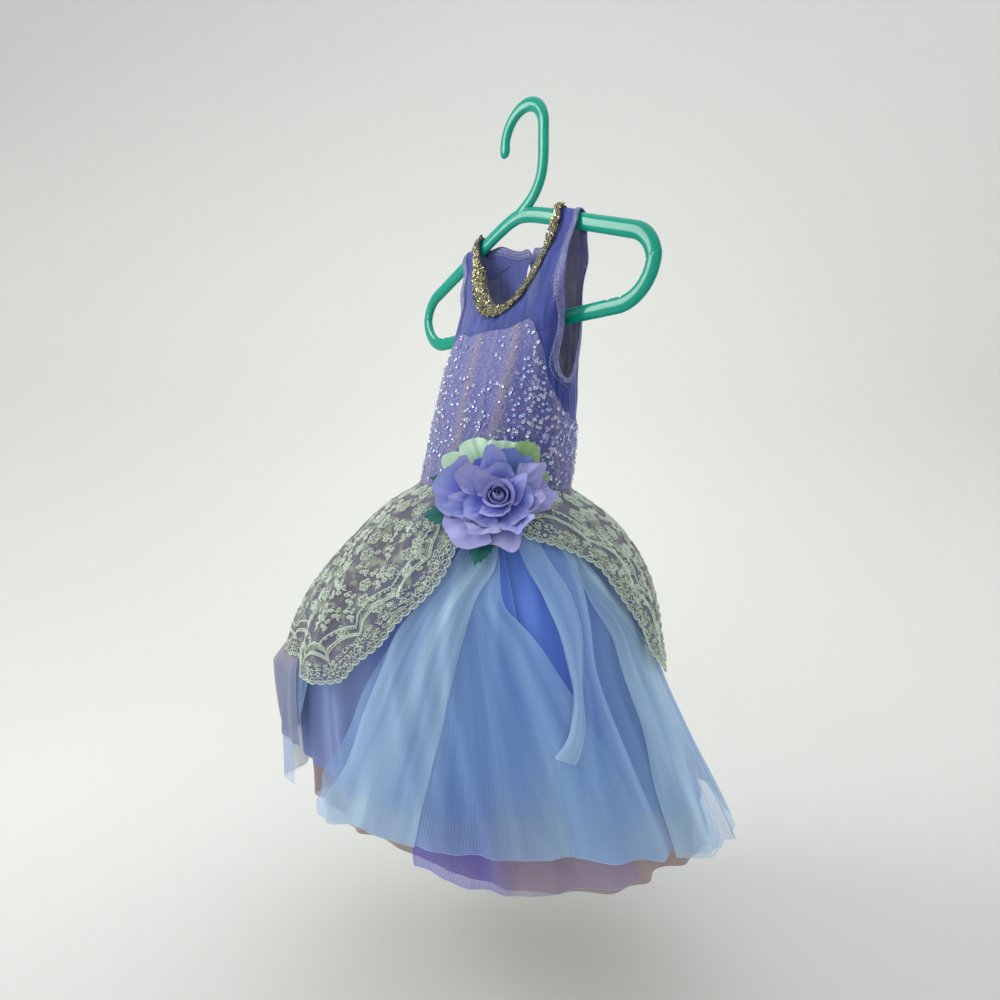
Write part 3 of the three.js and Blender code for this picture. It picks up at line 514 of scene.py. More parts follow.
# %% Camera
CAMERA_AT = Vector((0.3887, -0.3559, -0.2893))
LOOKS_ALONG = Vector((-0.7520, 0.6448, -0.1368))
CAMERA_ROLL = math.radians(1.23)
scene = bpy.context.scene
camera = bpy.data.objects.new("camera", bpy.data.cameras.new("camera"))
camera.data.lens, camera.data.sensor_width = 20.12, 36
camera.data.shift_x, camera.data.shift_y = 0.0046, 0.0286
camera.data.clip_start = 0.01
camera.location = CAMERA_AT
camera.rotation_mode = "QUATERNION"
camera.rotation_quaternion = (LOOKS_ALONG.to_track_quat("-Z", "Y")
                              @ Matrix.Rotation(CAMERA_ROLL, 3, "Z").to_quaternion())
scene.collection.objects.link(camera)
scene.camera = camera
print("camera at", tuple(round(v, 3) for v in camera.location))

# %% [markdown]
# The stage is a pale round room with a curved foot, so the costume has a calm ground from every
# side. Its paint carries a painted pool of light: brighter behind the costume, darker further away.

# %% Stage
ROOM_RADIUS, ROOM_HIGH, FLOOR_BELOW = 1.5, 2.3, 0.16
FLOOR_FLAT, FOOT_BEND = ROOM_RADIUS * 0.55, ROOM_RADIUS * 0.45
LIGHT_POOL_MOVE, LIGHT_POOL_SCALE = (0.66, -0.58, 0.22), (0.5, 0.5, 0.5)
middle = (cad_low + cad_high) / 2
foot = [math.radians(90 * step / 8) for step in range(1, 9)]
profile = ([(0.0005, 0), (FLOOR_FLAT, 0)]
           + [(FLOOR_FLAT + FOOT_BEND * math.sin(t), FOOT_BEND * (1 - math.cos(t))) for t in foot]
           + [(ROOM_RADIUS, ROOM_HIGH)])
around = np.radians(np.arange(0, 360, 5))
room_points = [(middle.x + r * math.cos(a), middle.y + r * math.sin(a),
                cad_low.z - FLOOR_BELOW + h) for r, h in profile for a in around]
paint = Finish("wall_paint", Roughness=0.9, Specular_IOR_Level=0.1)
# Painted light: the wall is painted brighter round a spot behind the costume and darker away from
# it.
painted_light_pool = paint.node("TexGradient", {"Vector": paint.stretched(LIGHT_POOL_SCALE, "Object",
                                                            Location=LIGHT_POOL_MOVE)},
                  gradient_type="SPHERICAL").outputs["Fac"]
paint.feed("Base Color", paint.blend(painted_light_pool, dye(212, 214, 211), dye(250, 251, 247)))
room = new_piece("room", room_points, tube_faces(len(profile), len(around))[:-2], paint.material)
costume.remove(room)
print("room radius", ROOM_RADIUS, "m, floor", FLOOR_BELOW, "m below the hem")

# %% [markdown]
# A large soft lamp at the camera's left is the window light. A wide ceiling lamp and the pale
# sky of the world fill the shadows, and a weak lamp behind lights the far side.

# %% Light
SKY_COLOUR, SKY_STRENGTH = (0.97, 0.97, 1.0, 1), 0.74
LAMPS = {  # place, size in metres, power in watts, colour
    "window": ((-0.75, -1.0, 0.35), (0.5, 0.7), 11.5, (1.0, 0.99, 0.975)),
    "ceiling": ((0.3, 0.1, 1.35), (2.6, 2.6), 12.0, (1.0, 0.985, 1.0)),
    "far_side": ((0.6, 1.1, 0.1), (0.9, 0.9), 2.5, (1.0, 0.985, 1.0)),
}
scene.view_settings.view_transform = "Standard"
scene.world = bpy.data.worlds.new("pale_sky")
scene.world.use_nodes = True
background = scene.world.node_tree.nodes["Background"].inputs
background["Color"].default_value, background["Strength"].default_value = SKY_COLOUR, SKY_STRENGTH
for name, (at, size, power, colour) in LAMPS.items():
    lamp = bpy.data.lights.new(name, "AREA")
    lamp.shape, lamp.size, lamp.size_y = "RECTANGLE", *size
    lamp.energy, lamp.color = power, colour
    body = bpy.data.objects.new(name, lamp)
    body.location = at
    body.rotation_mode = "QUATERNION"
    body.rotation_quaternion = (middle - Vector(at)).to_track_quat("-Z", "Y")
    scene.collection.objects.link(body)
print("lamps:", len(LAMPS))

# %% [markdown]
# ## The skirt
#
# Four layers of tulle hang from the waist: skin-coloured inside, then royal blue, violet, and
# pale sky outside. They share the same soft pleats. Real tulle is gathered on a thread at the
# waist, so it has dozens of small folds there, and only some of them run down to the hem. We
# draw those folds once, with a fixed seed, and let all layers share them, so no layer cuts
# through another.

# %% Pleats and gathers
PLEATS = [  # angle, width in degrees, rise in millimetres
    (-165, 13, 9), (-132, 14, 10), (-101, 11, 9), (-72, 12, 12), (-40, 10, 8), (-14, 12, 9),
    (9, 9, 6), (31, 9, 15), (57, 11, 12), (80, 10, 9), (112, 14, 12), (146, 12, 9)]
SKIRT_TOP, PLEATS_FULL = WAIST + 4, -540.0
LAYERS = {  # how far a layer lies outside the body at waist and hem, and its share of the pleats
    "nude": (-5.8, -28, 0.7), "blue": (-4.55, -21, 0.8), "violet": (-3.3, -13, 0.9),
    "sky": (-2.05, -3, 1.0)}


def wrap(angle):
    return (np.asarray(angle) + 540) % 360 - 180


def dip(angle, middle, width):
    """A soft bump round one angle."""
    return np.exp(-(wrap(angle - middle) / width) ** 2)


def draw_folds(count, widths, rises, start, end, lean):
    """Folds spaced unevenly round the waist, each with its own width, rise and lean."""
    return [(360 * (k + chance.uniform(0.15, 0.85)) / count - 180, chance.uniform(*widths),
             chance.uniform(*rises), chance.uniform(*start), chance.uniform(*end),
             chance.uniform(-lean, lean)) for k in range(count)]


SHORT_FOLDS = draw_folds(84, (1.1, 2.0), (0.7, 1.5), (6, 16), (60, 190), 0.012)
LONG_FOLDS = draw_folds(40, (2.0, 4.2), (2.2, 5.4), (30, 120), (900, 900), 0.018)


def gathers(angle, level):
    """How far the small folds lift the cloth, in millimetres."""
    down = np.maximum(WAIST - level, 0)
    return sum(rise * dip(angle - lean * down, at, width) * smooth(down / start)
               * (1 - smooth((down - end * 0.5) / end))
               for at, width, rise, start, end, lean in SHORT_FOLDS + LONG_FOLDS)


def down_skirt(level):
    return clamp01((SKIRT_TOP - level) / (SKIRT_TOP - PLEATS_FULL))


def skirt(layer, angle, level, over=0.0, folds=1.0):
    waist, hem, share = LAYERS[layer]
    fall = down_skirt(level)
    pleats = sum(rise * dip(angle, at, width) for at, width, rise in PLEATS)
    away = mix(waist, hem, fall) + share * fall * pleats + folds * gathers(angle, level)
    return cloth(angle, level, away + over + CLOTH / 2)


print("folds:", len(SHORT_FOLDS), "short,", len(LONG_FOLDS), "long")

# %% [markdown]
# A layer is either a full round or a panel with two free edges. Its hem level changes a little
# from place to place, because the cloth was cut straight but hangs over pleats.

# %% Hems and panels
SKIRT_ROWS, ROUND_COLUMNS = 56, 300
ROUND_ANGLES = np.arange(ROUND_COLUMNS) * 360 / ROUND_COLUMNS
ROWS_DOWN = np.linspace(0, 1, SKIRT_ROWS + 1) ** 1.2    # closer together near the waist
HEM_WAVE = 0.8
HEMS = {
    "nude": lambda a: -566 - 20 * dip(a, 12, 28),
    "blue": lambda a: -524 + 5 * np.sin(np.radians(3 * a)),
    "violet": lambda a: -579 + 16 * smooth((a - 8) / 26) + 9 * smooth((-2 - a) / 12),
    "sky": lambda a: -545 + 6 * dip(a, 30, 14) - 6 * dip(a, -50, 16) - 7 * dip(a, 75, 15),
}


def edge_of(points):
    """The angle of a free edge at each level, from a few (angle, level) points."""
    fine = through(points, 120)
    return lambda level: np.interp(-level, -fine[:, 1], fine[:, 0])


def straight(at_waist, at_hem):
    return lambda level: mix(at_waist, at_hem, down_skirt(level))


def panel(layer, left, right, per_degree=1.0, over=0.0):
    """A grid of points between two free edges, from the waist down to the layer's hem."""
    at_hem = left(PLEATS_FULL), right(PLEATS_FULL)
    columns = max(8, int(abs(at_hem[1] - at_hem[0]) * per_degree))
    down, across = np.meshgrid(ROWS_DOWN, np.linspace(0, 1, columns + 1), indexing="ij")
    angle = mix(*at_hem, across)
    for _ in range(2):
        low = HEMS[layer](angle) + HEM_WAVE * np.sin(np.radians(angle) * 23 + 1)
        level = mix(SKIRT_TOP, low, down)
        angle = mix(left(level), right(level), across)
    return skirt(layer, angle, level, over)


def full_round(layer):
    level = mix(SKIRT_TOP, HEMS[layer](ROUND_ANGLES), ROWS_DOWN[:, None])
    return skirt(layer, np.broadcast_to(ROUND_ANGLES, level.shape), level)


print("hems:", {layer: round(float(hem(0.0))) for layer, hem in HEMS.items()})

# %% [markdown]
# Two layers go all the way round. The royal blue one is dyed: bright in front, slate blue
# behind, and lilac along its hem, where the nude layer shines through.

# %% Full layers
ROYAL_DYE, SLATE_DYE, LILAC_DYE = dyes((98, 142, 246), (132, 142, 174), (150, 142, 190))
FRONT_MIDDLE, FRONT_HALF = 16, 36
in_front = np.exp(-(wrap(ROUND_ANGLES - FRONT_MIDDLE) / FRONT_HALF) ** 4)[None, :, None]
low_down = smooth((np.linspace(0, 1, SKIRT_ROWS + 1) - 0.86) / 0.14)[:, None, None]
royal_dye = mix(mix(SLATE_DYE, ROYAL_DYE, in_front), LILAC_DYE, 0.6 * low_down)
sheet("tulle_nude", full_round("nude"), NUDE, "nude_tulle", "skirt_nude", ring=True)
sheet("tulle_royal", full_round("blue"), ROYAL, "royal_tulle", "skirt_blue", ring=True,
      colour=royal_dye)

# %% [markdown]
# The violet panel shows in front, below the sky layer. The sky layer has slits: its front panel
# opens on the royal blue near the rose, and a doubled fold runs down beside the opening. Two
# thicknesses of tulle look paler than one, so the folds are real second layers here, not paint.

# %% Violet and sky panels
violet_points = panel("violet", straight(-6, -17), straight(13, 34), per_degree=1.8)
down, across = (np.linspace(0, 1, count) for count in violet_points.shape[:2])
BLUE_HEM, MAUVE_HEM = dyes((96, 98, 214), (166, 148, 172))
hem_dye = mix(BLUE_HEM, MAUVE_HEM, smooth((across - 0.3) / 0.2)[None, :, None])
sheet("tulle_violet", violet_points, VIOLET, "violet_tulle", "skirt_violet",
      colour=mix(ROYAL_DYE, hem_dye, smooth((down - 0.72) / 0.2)[:, None, None]))

slit_edge = edge_of([(15, -236), (15.5, -300), (17, -342), (24, -364), (31, -398), (35, -440),
                     (37, -490), (39, -560)])
fold_edge = edge_of([(19.5, -236), (22, -262), (24, -306), (28.5, -332), (33, -372),
                     (33.5, -410), (29, -438), (24, -465), (21, -500), (20, -560)])
for name, left, right, options in [
        ("front", straight(14, -45), slit_edge, {"per_degree": 1.5}),
        ("front_fold", fold_edge, straight(43, 43), {"per_degree": 3.0, "over": 1.0}),
        ("left", straight(40.5, 40.5), straight(184, 184), {"over": -0.7}),
        ("right", straight(-177.5, -177.5), straight(-30, -66), {})]:
    sheet(f"tulle_sky_{name}", panel("sky", left, right, **options), SKY, "sky_tulle",
          f"skirt_sky_{name.split('_')[0]}")

# %% [markdown]
# Where the cloth is folded back on itself there is a second layer with a soft round edge. Each
# fold below is a strip between two lines down the skirt, lifted a little along its middle.

# %% Folded strips
STRIPS = {  # left line, right line, rise, columns, lift, the solid it lies on
    "fold_band": ([(20, -250), (24, -306), (28.5, -332), (33, -372), (33.5, -410), (29, -438),
                   (23, -463)],
                  [(27, -250), (33, -303), (38, -338), (38.5, -372), (36, -405), (33, -438),
                   (27, -466)], 4.5, 18, 2.2, "skirt_sky_front"),
    "fold_right": ([(37, -252), (40, -300), (44, -330), (50, -368), (51, -430), (47, -498),
                    (45, -548)],
                   [(42, -252), (48, -304), (56, -336), (68, -372), (76, -434), (67, -502),
                    (60, -548)], 3.0, 18, 1.4, "skirt_sky_left"),
    "fold_left": ([(12, -252), (1, -302), (-5, -332), (-11, -360), (-18, -414), (-28, -474),
                   (-42, -546)],
                  [(15, -252), (14.5, -308), (9, -336), (4, -398), (-1, -440), (-9, -502),
                   (-14, -546)], 1.4, 30, 1.0, "skirt_sky_front"),
}
STRIP_ROWS = 60
ends = np.sin(np.pi * np.linspace(0.02, 0.98, STRIP_ROWS + 1))[:, None] ** 0.5
for name, (left, right, rise, columns, lift, node) in STRIPS.items():
    left, right = through(left, STRIP_ROWS), through(right, STRIP_ROWS)
    share = np.linspace(0, 1, columns + 1)
    swell = rise * ends * np.sin(np.pi * share ** 0.6) + lift
    points = skirt("sky", mix(left[:, :1], right[:, :1], share),
                   mix(left[:, 1:], right[:, 1:], share), swell)
    sheet(name, points, SKY_FOLD, "sky_tulle", node)

# %% [markdown]
# Over the hips lies a short pointed tier of violet tulle, mostly under the lace.

# %% Hip tier
TIER_TOP, TIER_LEVEL, TIER_ENDS, TIER_COLUMNS = -258, -332, (-262, -33), 190
TIER_POINTS = [(-52, 9, 52), (-108, 14, 40), (165, 20, 45), (100, 14, 40)]  # angle, width, drop


def ease_out(level, near, far, reach):
    return mix(near, far, smooth((WAIST - GAP - level) / reach))


tier_angle = np.linspace(*TIER_ENDS, TIER_COLUMNS + 1)
tier_hem = TIER_LEVEL - sum(drop * dip(tier_angle, at, width) for at, width, drop in TIER_POINTS)
tier_level = mix(TIER_TOP, tier_hem, np.linspace(0, 1, 25)[:, None])
sheet("tulle_tier", skirt("sky", np.broadcast_to(tier_angle, tier_level.shape), tier_level,
                          ease_out(tier_level, 0.2, 3.4, 34)),
      TIER_VIOLET, "violet_tulle", "hip_tier")

# %% [markdown]
# A corner of stiff organza sticks out at one side, below the lace. It is a small sheet with one
# sharp crease, brown where it lies over the skin-coloured net and slate blue below.

# %% Side corner
CREASE_LEVEL, CREASE_ANGLE, CREASE_RISE = -424, -82, 19
CORNER_TOP, CORNER_FOOT = dyes((168, 144, 140), (116, 128, 168))
level, angle = np.meshgrid(np.linspace(-388, -500, 41), np.linspace(-104, -58, 41),
                           indexing="ij")
away = abs(level - CREASE_LEVEL + 0.25 * (angle + 80))
crease = clamp01(1 - away / np.where(level > CREASE_LEVEL, 34, 60))
sheet("organza_corner",
      skirt("sky", angle, level, 1.2 + CREASE_RISE * crease * dip(angle, CREASE_ANGLE, 17)),
      ORGANZA, "sky_tulle", "skirt_sky_right",
      colour=mix(CORNER_TOP, CORNER_FOOT, smooth((-404 - level) / 30)[..., None]))

# %% [markdown]
# ## The sheer top
#
# The yoke, the sides and the two halves of the back are stretch net. Each is drawn as the
# pattern cutter draws it: lines of (angle, level) points with the cloth laid between them. The
# helpers below move such a line sideways, mirror it, or lead it over the shoulder.

# %% Pattern lines
ARMHOLE = np.array([                                    # level, angle in front, angle behind
    [0, 37.5, 37.5], [-20, 40, 43], [-45, 50, 53], [-75, 64, 57], [-105, 77, 61],
    [-125, 71, 72], [-140, 67.5, 79], [-148, 73, 84], [-153, 88, 88],
], float)
UNDERARM, BINDING, NECKBAND = -153.5, 7.0, 8.0
ARCH = [SEAM_RISE * share for share in (0.975, 0.6, 0.25)]  # levels over the shoulder
YOKE_LEVELS = [-3, -16, -30, -45, -60, -76, -92, -107]
SIDE_LEVELS = [-120, -132, -141, -147.5, -151.5]
PANEL_TOP = [(0, -107), (12, -107.5), (22, -107), (29, -103.5), (34, -101), (38, -104.5),
             (42, -112), (48, -123), (53, -134), (56, -145), (58.5, -152.5), (61, -158),
             (64, -163), (69, -168.5), (74.5, -174), (80, -178)]
CHEST_CORNER = 42


def on_pattern(point):
    """(across, height) on the front, as (angle, level) on the cloth."""
    x, z = point
    level = z
    for _ in range(12):
        level = z - float(section(level)["follow"]) * float(arm_height(x))
    level = min(level, 0.0)
    return float(angle_at(x, level)), level


def seam_angle(level):
    """The angle of the side seam, half a gap before the side."""
    s = section(level)
    return 90 - np.degrees(np.arctan(GAP / (s["front"] + s["back"])))


def seam_line(*levels):
    return [(float(seam_angle(level)), level) for level in levels]


def inset(line, widths):
    """Moves a line of (angle, level) sideways by one width, or one for each point."""
    moved = []
    for k, ((angle, level), width) in enumerate(zip(line, np.broadcast_to(widths, len(line)))):
        before, after = line[max(k - 1, 0)], line[min(k + 1, len(line) - 1)]
        per_degree = float(np.linalg.norm(cloth(angle + 1, level) - cloth(angle, level)))
        run, rise = (after[0] - before[0]) * per_degree, after[1] - before[1]
        size = math.hypot(run, rise)
        moved.append((angle + rise / size * width / per_degree, level - run / size * width))
    return moved


def turned_over(line, flip=-1):
    return [(flip * angle, level) for angle, level in line]


def behind(line):
    return [(180 - angle, level) for angle, level in line]


def over_shoulder(start):
    return [(start[0], level) for level in ARCH]


def whole_front(half):
    right = over_shoulder(half[0]) + list(half)
    return right + turned_over(right[-2::-1])


def armhole_edge(column, levels):
    edge = [(float(look_up(ARMHOLE, column, level)), level) for level in levels]
    return over_shoulder(edge[0]) + edge + [(90.0, UNDERARM)]


def around_hole(hole, width):
    return inset(hole, width)[:-1] + [(90.0, UNDERARM - width)]


print("underarm level", UNDERARM, "mm, seam at", round(float(seam_angle(UNDERARM)), 2), "degrees")

# %% [markdown]
# The nape and the opening of the back are drawn as half widths at falling levels. The armholes
# and the neck follow, and the line under the beaded trim, which is widest at the throat.

# %% Armhole and neck lines
NAPE = [(0, 48), (-3, 45.5), (-9, 38), (-16, 29), (-23, 20), (-26.5, 11), (-26, 5)]
NOTCH_TOP, NOTCH_FOOT = -33.0, -37.0
BACK_EDGE = ([(-41, 6), (-46, 8.5), (-56, 9), (-66, 7), (-74, 3.5)]
             + [(level, GAP) for level in (-80, -100, -120, -135, -147)])
NET_UNDER_BAND = BINDING - 3.6
TRIM_START, TRIM_MIDDLE, TRIM_THROAT = 7, 16, 11
front_hole = armhole_edge(1, YOKE_LEVELS + SIDE_LEVELS)
back_hole = armhole_edge(2, [level for level, _ in NAPE + [(NOTCH_FOOT, 0)] + BACK_EDGE])
front_mesh_edge = around_hole(front_hole, NET_UNDER_BAND)
back_mesh_edge = around_hole(back_hole, NET_UNDER_BAND)
neck_half = [on_pattern(point) for point in NECK_LINE[:NECK_STATIONS + 1]]
way = 2 * np.arange(len(neck_half)) / NECK_STATIONS
trim_widths = np.where(way < 1, mix(TRIM_START, TRIM_MIDDLE, smooth(way)),
                       mix(TRIM_MIDDLE, TRIM_THROAT, smooth(way - 1)))
trim_half, trim_middle = inset(neck_half, trim_widths), inset(neck_half, trim_widths / 2)
print("armhole points:", len(front_hole), "neck points:", len(neck_half))

# %% [markdown]
# Stretch net hangs in soft upright folds where the shoulders pull it, and it is gathered tight
# below the armholes. `net_folds` draws those folds as a lift of the cloth. `refine` puts smooth
# extra lines through a coarse pattern, without swinging beyond its points.

# %% Refined cloth from pattern lines
def refine(lines, rows, columns):
    """A dense grid of angles and one of levels, through a coarse grid of (angle, level)."""
    def along(points, count):
        step = np.linalg.norm(np.diff(points, axis=0), axis=-1)
        step = step.reshape(len(points) - 1, -1).mean(axis=1)
        knots = np.concatenate([[0], np.cumsum(np.maximum(step, 1e-6))])
        shape = (-1, *([1] * (points.ndim - 1)))
        h = np.diff(knots).reshape(shape)
        rate = np.diff(points, axis=0) / h
        slopes = np.concatenate([rate[:1], np.zeros_like(rate[1:]), rate[-1:]])
        same = rate[:-1] * rate[1:] > 0
        w1, w2 = 2 * h[1:] + h[:-1], h[1:] + 2 * h[:-1]
        with np.errstate(divide="ignore", invalid="ignore"):
            slopes[1:-1] = np.where(same, (w1 + w2) / (w1 / rate[:-1] + w2 / rate[1:]), 0)
        at = np.linspace(0, knots[-1], count + 1)
        i = np.clip(np.searchsorted(knots, at, side="right") - 1, 0, len(points) - 2)
        t = ((at - knots[i]) / np.diff(knots)[i]).reshape(shape)
        return hermite(t, points[i], points[i + 1], slopes[i] * h[i], slopes[i + 1] * h[i])

    dense = along(np.array(lines, float), rows)
    dense = np.swapaxes(along(np.swapaxes(dense, 0, 1), columns), 0, 1)
    return dense[..., 0], dense[..., 1]


def net_folds(angle, level):
    fold = (0.9 * np.sin(np.radians(angle * 17 + level * 1.2))
            + 0.6 * np.sin(np.radians(angle * 31 - level * 2 + 40)))
    below_arm = np.exp(-((level + 166) / 13) ** 2) * np.sin(np.radians(angle * 52))
    return fold * smooth((-level - 8) / 30) * 0.8 + below_arm


def net_sheet(name, lines, rows, columns, node):
    """Net between pattern lines. Its folds fade out towards its edges."""
    angle, level = refine(lines, rows, columns)
    fade_rows, fade_columns = (np.sin(np.pi * np.linspace(0, 1, count + 1)) ** 0.5
                               for count in (rows, columns))
    out = CLOTH / 2 + net_folds(angle, level) * fade_rows[:, None] * fade_columns
    sheet(name, cloth(angle, level, out), STRETCH_NET, "mesh", node, held="stretched")


print("highest net fold:", round(float(net_folds(np.arange(90.0), -90.0).max()), 1), "mm")

# %% [markdown]
# The yoke runs from shoulder to shoulder round the neck. The two sides fill the space between
# the bodice, the armhole and the side seam.

# %% Yoke and sides
yoke_half = (turned_over(front_mesh_edge[len(ARCH):len(ARCH) + len(YOKE_LEVELS)])
             + [(-angle, level + GAP) for angle, level in reversed(PANEL_TOP)
                if angle <= CHEST_CORNER])
halfway = [tuple(p) for p in (np.array(trim_half) + np.array(yoke_half)) / 2]
yoke_lines = [whole_front(half)
              for half in (neck_half, trim_middle, trim_half, halfway, yoke_half)]
net_sheet("net_yoke", yoke_lines, 36, 120, "yoke_front")

CORNER = (3 * GAP, 2 * GAP)                             # both lines keep clear of the yoke's corner
side_inner = [(angle, level + CORNER[1]) for angle, level in PANEL_TOP if angle >= CHEST_CORNER]
side_inner[0] = (side_inner[0][0] + CORNER[0], side_inner[0][1] - 2 * CORNER[1])
side_outer = front_mesh_edge[len(ARCH) + len(YOKE_LEVELS) - 1:-1]
side_outer[0] = (side_outer[0][0] - CORNER[0], side_outer[0][1] - CORNER[1])
side_outer += seam_line(UNDERARM - BINDING + 1.2, -166, -173, -178.5)
for side_name, flip in (("left", 1), ("right", -1)):
    net_sheet(f"net_side_{side_name}",
              [turned_over(side_inner, flip), turned_over(side_outer, flip)],
              18, 60, f"side_{side_name}")

# %% [markdown]
# The back is two halves that meet in a seam, with a keyhole above it and a notch at the nape.
# The fastening has slipped a little to the wearer's left, as it does on a hanger.

# %% Back halves
BACK_PANEL_TOP, SLIPPED = -184.0, 8


def from_opening(side, level, half):
    shift = SLIPPED * float(smooth((level + 85) / (NOTCH_FOOT + 85)))
    return side * float(angle_at(half + side * shift, level)), level


def back_half(side):
    """The two lines of the nape band, and the inner and outer line of the net below it."""
    nape = [(side * float(angle_at(half, level)), level) if half > 40
            else from_opening(side, level, half) for level, half in NAPE]
    edge = over_shoulder(nape[0]) + nape
    notch = [from_opening(side, level, GAP) for level in (NOTCH_TOP, NOTCH_FOOT)]
    band_lines = [edge + [notch[0]], inset(edge, -side * NECKBAND) + [notch[1]]]
    opening = ([(NOTCH_FOOT - GAP, GAP)] + BACK_EDGE
               + [(level, GAP) for level in (UNDERARM, -168, BACK_PANEL_TOP + GAP)])
    inner = (inset(edge, -side * (NECKBAND - 1.5))
             + [from_opening(side, level, half) for level, half in opening])
    outer = turned_over(back_mesh_edge[:-1] + seam_line(
        UNDERARM - BINDING + 1.2, -172, BACK_PANEL_TOP + GAP), side)
    return [behind(line) for line in band_lines], [behind(inner), behind(outer)]


back_sides = {"left": back_half(1), "right": back_half(-1)}
for side_name, (_, net_lines) in back_sides.items():
    net_sheet(f"net_back_{side_name}", net_lines, 34, 110, f"yoke_back_{side_name}")

# %% [markdown]
# ## Elastic edgings
#
# A folded silver elastic runs round each armhole, and the same band finishes the back of the
# neck. The yarn glitters: tiny facets in the material tilt the surface, and some are metal.

# %% Elastic finish
WAVE_PER_RIB = 0.31                                     # texture scale times the rib's width
RIB = 0.0011


def glitter_elastic(name, colour, spark):
    made = Finish(name, Roughness=0.42, Specular_IOR_Level=0.6, Sheen_Weight=0.2)
    sparkle = made.noise(1600, detail=2.0)
    dots = made.step(sparkle, 0.56, 0.66)
    cloudy = made.blend(made.noise(120, detail=2.0), dye(*colour), darker(colour, 0.72))
    made.feed("Base Color", made.blend(dots, cloudy, dye(*spark)))
    made.feed("Metallic", made.times(dots, 0.55))
    made.feed("Roughness", made.between(dots, 0.5, 0.22))
    made.bump(made.add(made.times(made.bands(WAVE_PER_RIB / RIB), 0.5), made.times(sparkle, 0.8)),
              0.0004, 0.8)
    return made.material


SILVER_ELASTIC = glitter_elastic("silver_elastic", (72, 80, 156), (206, 208, 244))
NECK_ELASTIC = glitter_elastic("neck_elastic", (78, 82, 152), (176, 176, 222))
print("ribs to the centimetre:", round(0.01 / RIB))

# %% [markdown]
# Elastic is thick enough to have an edge, so its section is a rounded pillow. `band` sweeps
# that section between two lines. Easing the lines takes small wobbles out of them.

# %% Bands with a rounded section
BAND_THICK, BAND_SIDES = 2.0 * CLOTH, 16


def band(name, edges, low, high, finish, stations, slot, *nodes, ring=False):
    """A flat pillow between two lines of (angle, level), from low to high off the body."""
    angle, level = refine(edges, 1, stations)
    for _ in range(90 if ring else 14):
        for v in (angle, level):
            v[:, 1:-1] = (v[:, :-2] + 2 * v[:, 1:-1] + v[:, 2:]) / 4
    if ring:                                            # both ends are one place on the shoulder
        angle, level = angle[:, :-1], level[:, :-1]
    turn = np.arange(BAND_SIDES) * 2 * np.pi / BAND_SIDES
    cosine, sine = np.cos(turn)[:, None], np.sin(turn)[:, None]
    share = 0.5 - 0.5 * np.sign(cosine) * abs(cosine) ** 0.45
    lift = (low + high) / 2 + (high - low) / 2 * np.sign(sine) * abs(sine) ** 0.7
    points = cloth(mix(*angle, share), mix(*level, share), lift).swapaxes(0, 1)
    count = len(points)
    run = lengths(points, 0)
    uv = np.stack([np.broadcast_to(np.arange(BAND_SIDES) * 0.0012, run.shape), run], axis=-1)
    piece = new_piece(name, placed(points).reshape(-1, 3), tube_faces(count, BAND_SIDES, ring),
                      finish, uv.reshape(-1, 2))
    fix_normals(piece)
    belongs(piece, slot, *nodes)
    print(name, round(run[-1, 0] * 1000), "mm long")


for side_name, flip in (("left", 1), ("right", -1)):
    hole_rings = [turned_over(around_hole(front_hole, width)
                              + behind(around_hole(back_hole, width))[-2::-1], flip)
                  for width in (0.0, BINDING - 1.2)]
    band(f"elastic_armhole_{side_name}", hole_rings, 0, BAND_THICK, SILVER_ELASTIC, 220,
         "elastic", f"binding_{side_name}", ring=True)
for side_name, (band_lines, _) in back_sides.items():
    band(f"elastic_nape_{side_name}", band_lines, 0, BAND_THICK, NECK_ELASTIC, 90, "elastic",
         f"neckband_back_{side_name}")

# %% [markdown]
# ## Thread
#
# Elastic is sewn on with a zigzag, which shows as a row of small slanting stitches. A stitch is
# a short thread on the cloth, so we need a helper that turns any line of points into a round
# cord. It is used again for the lace.

# %% Cords
CORD_ENDS, CORD_ROUND = 0.55, 0.003                     # thinner cut ends; metres round for UV


def cords(name, paths, radii, finish, slot, *nodes, sides=4):
    """Round cords along many lines. Each path is (points, normals) in pattern millimetres."""
    turn = np.arange(sides) * 2 * np.pi / sides
    vertices, faces, uv, start = [], [], [], 0
    for (points, normals), radius in zip(paths, np.broadcast_to(radii, len(paths))):
        tangent = unit(np.gradient(points, axis=0))
        across = unit(np.cross(tangent, normals))
        up = np.cross(across, tangent)
        size = np.full((len(points), 1, 1), radius)
        size[[0, -1]] *= CORD_ENDS
        around = across[:, None] * np.cos(turn)[:, None] + up[:, None] * np.sin(turn)[:, None]
        vertices.append((points[:, None] + around * size).reshape(-1, 3))
        faces += [[start + v for v in face] for face in tube_faces(len(points), sides)]
        uv.append(np.stack(np.broadcast_arrays(CORD_ROUND * np.arange(sides) / sides,
                                               lengths(points, 0)[:, None]), axis=-1))
        start += len(points) * sides
    piece = new_piece(name, placed(np.concatenate(vertices)), faces, finish,
                      np.concatenate(uv).reshape(-1, 2))
    belongs(piece, slot, *nodes)
    print(name, len(paths), "cords,", len(faces) * 2, "triangles")


def normals_of(angle, level, surface):
    """Outward directions of a surface function at arrays of (angle, level)."""
    east = surface(angle + 0.4, level) - surface(angle - 0.4, level)
    south = surface(angle, level - 0.5) - surface(angle, level + 0.5)
    return unit(np.cross(south, east))


def thread(name, colour, roughness=0.5):
    made = Finish(name, Roughness=roughness, Sheen_Weight=0.3)
    plies = made.bands(WAVE_PER_RIB / RIB, "DIAGONAL")
    made.feed("Base Color", made.blend(plies, darker(colour, 0.8), dye(*colour)))
    made.bump(plies, 0.0001, 0.6)
    return made.material


SEWING_THREAD = thread("sewing_thread", (176, 178, 226))
CUT_EDGE = thread("cut_edge", (182, 208, 242))

# %% [markdown]
# A cut edge of tulle shows as a fine pale line, because we look along its threads there. A very
# thin cord along each free edge gives that line.

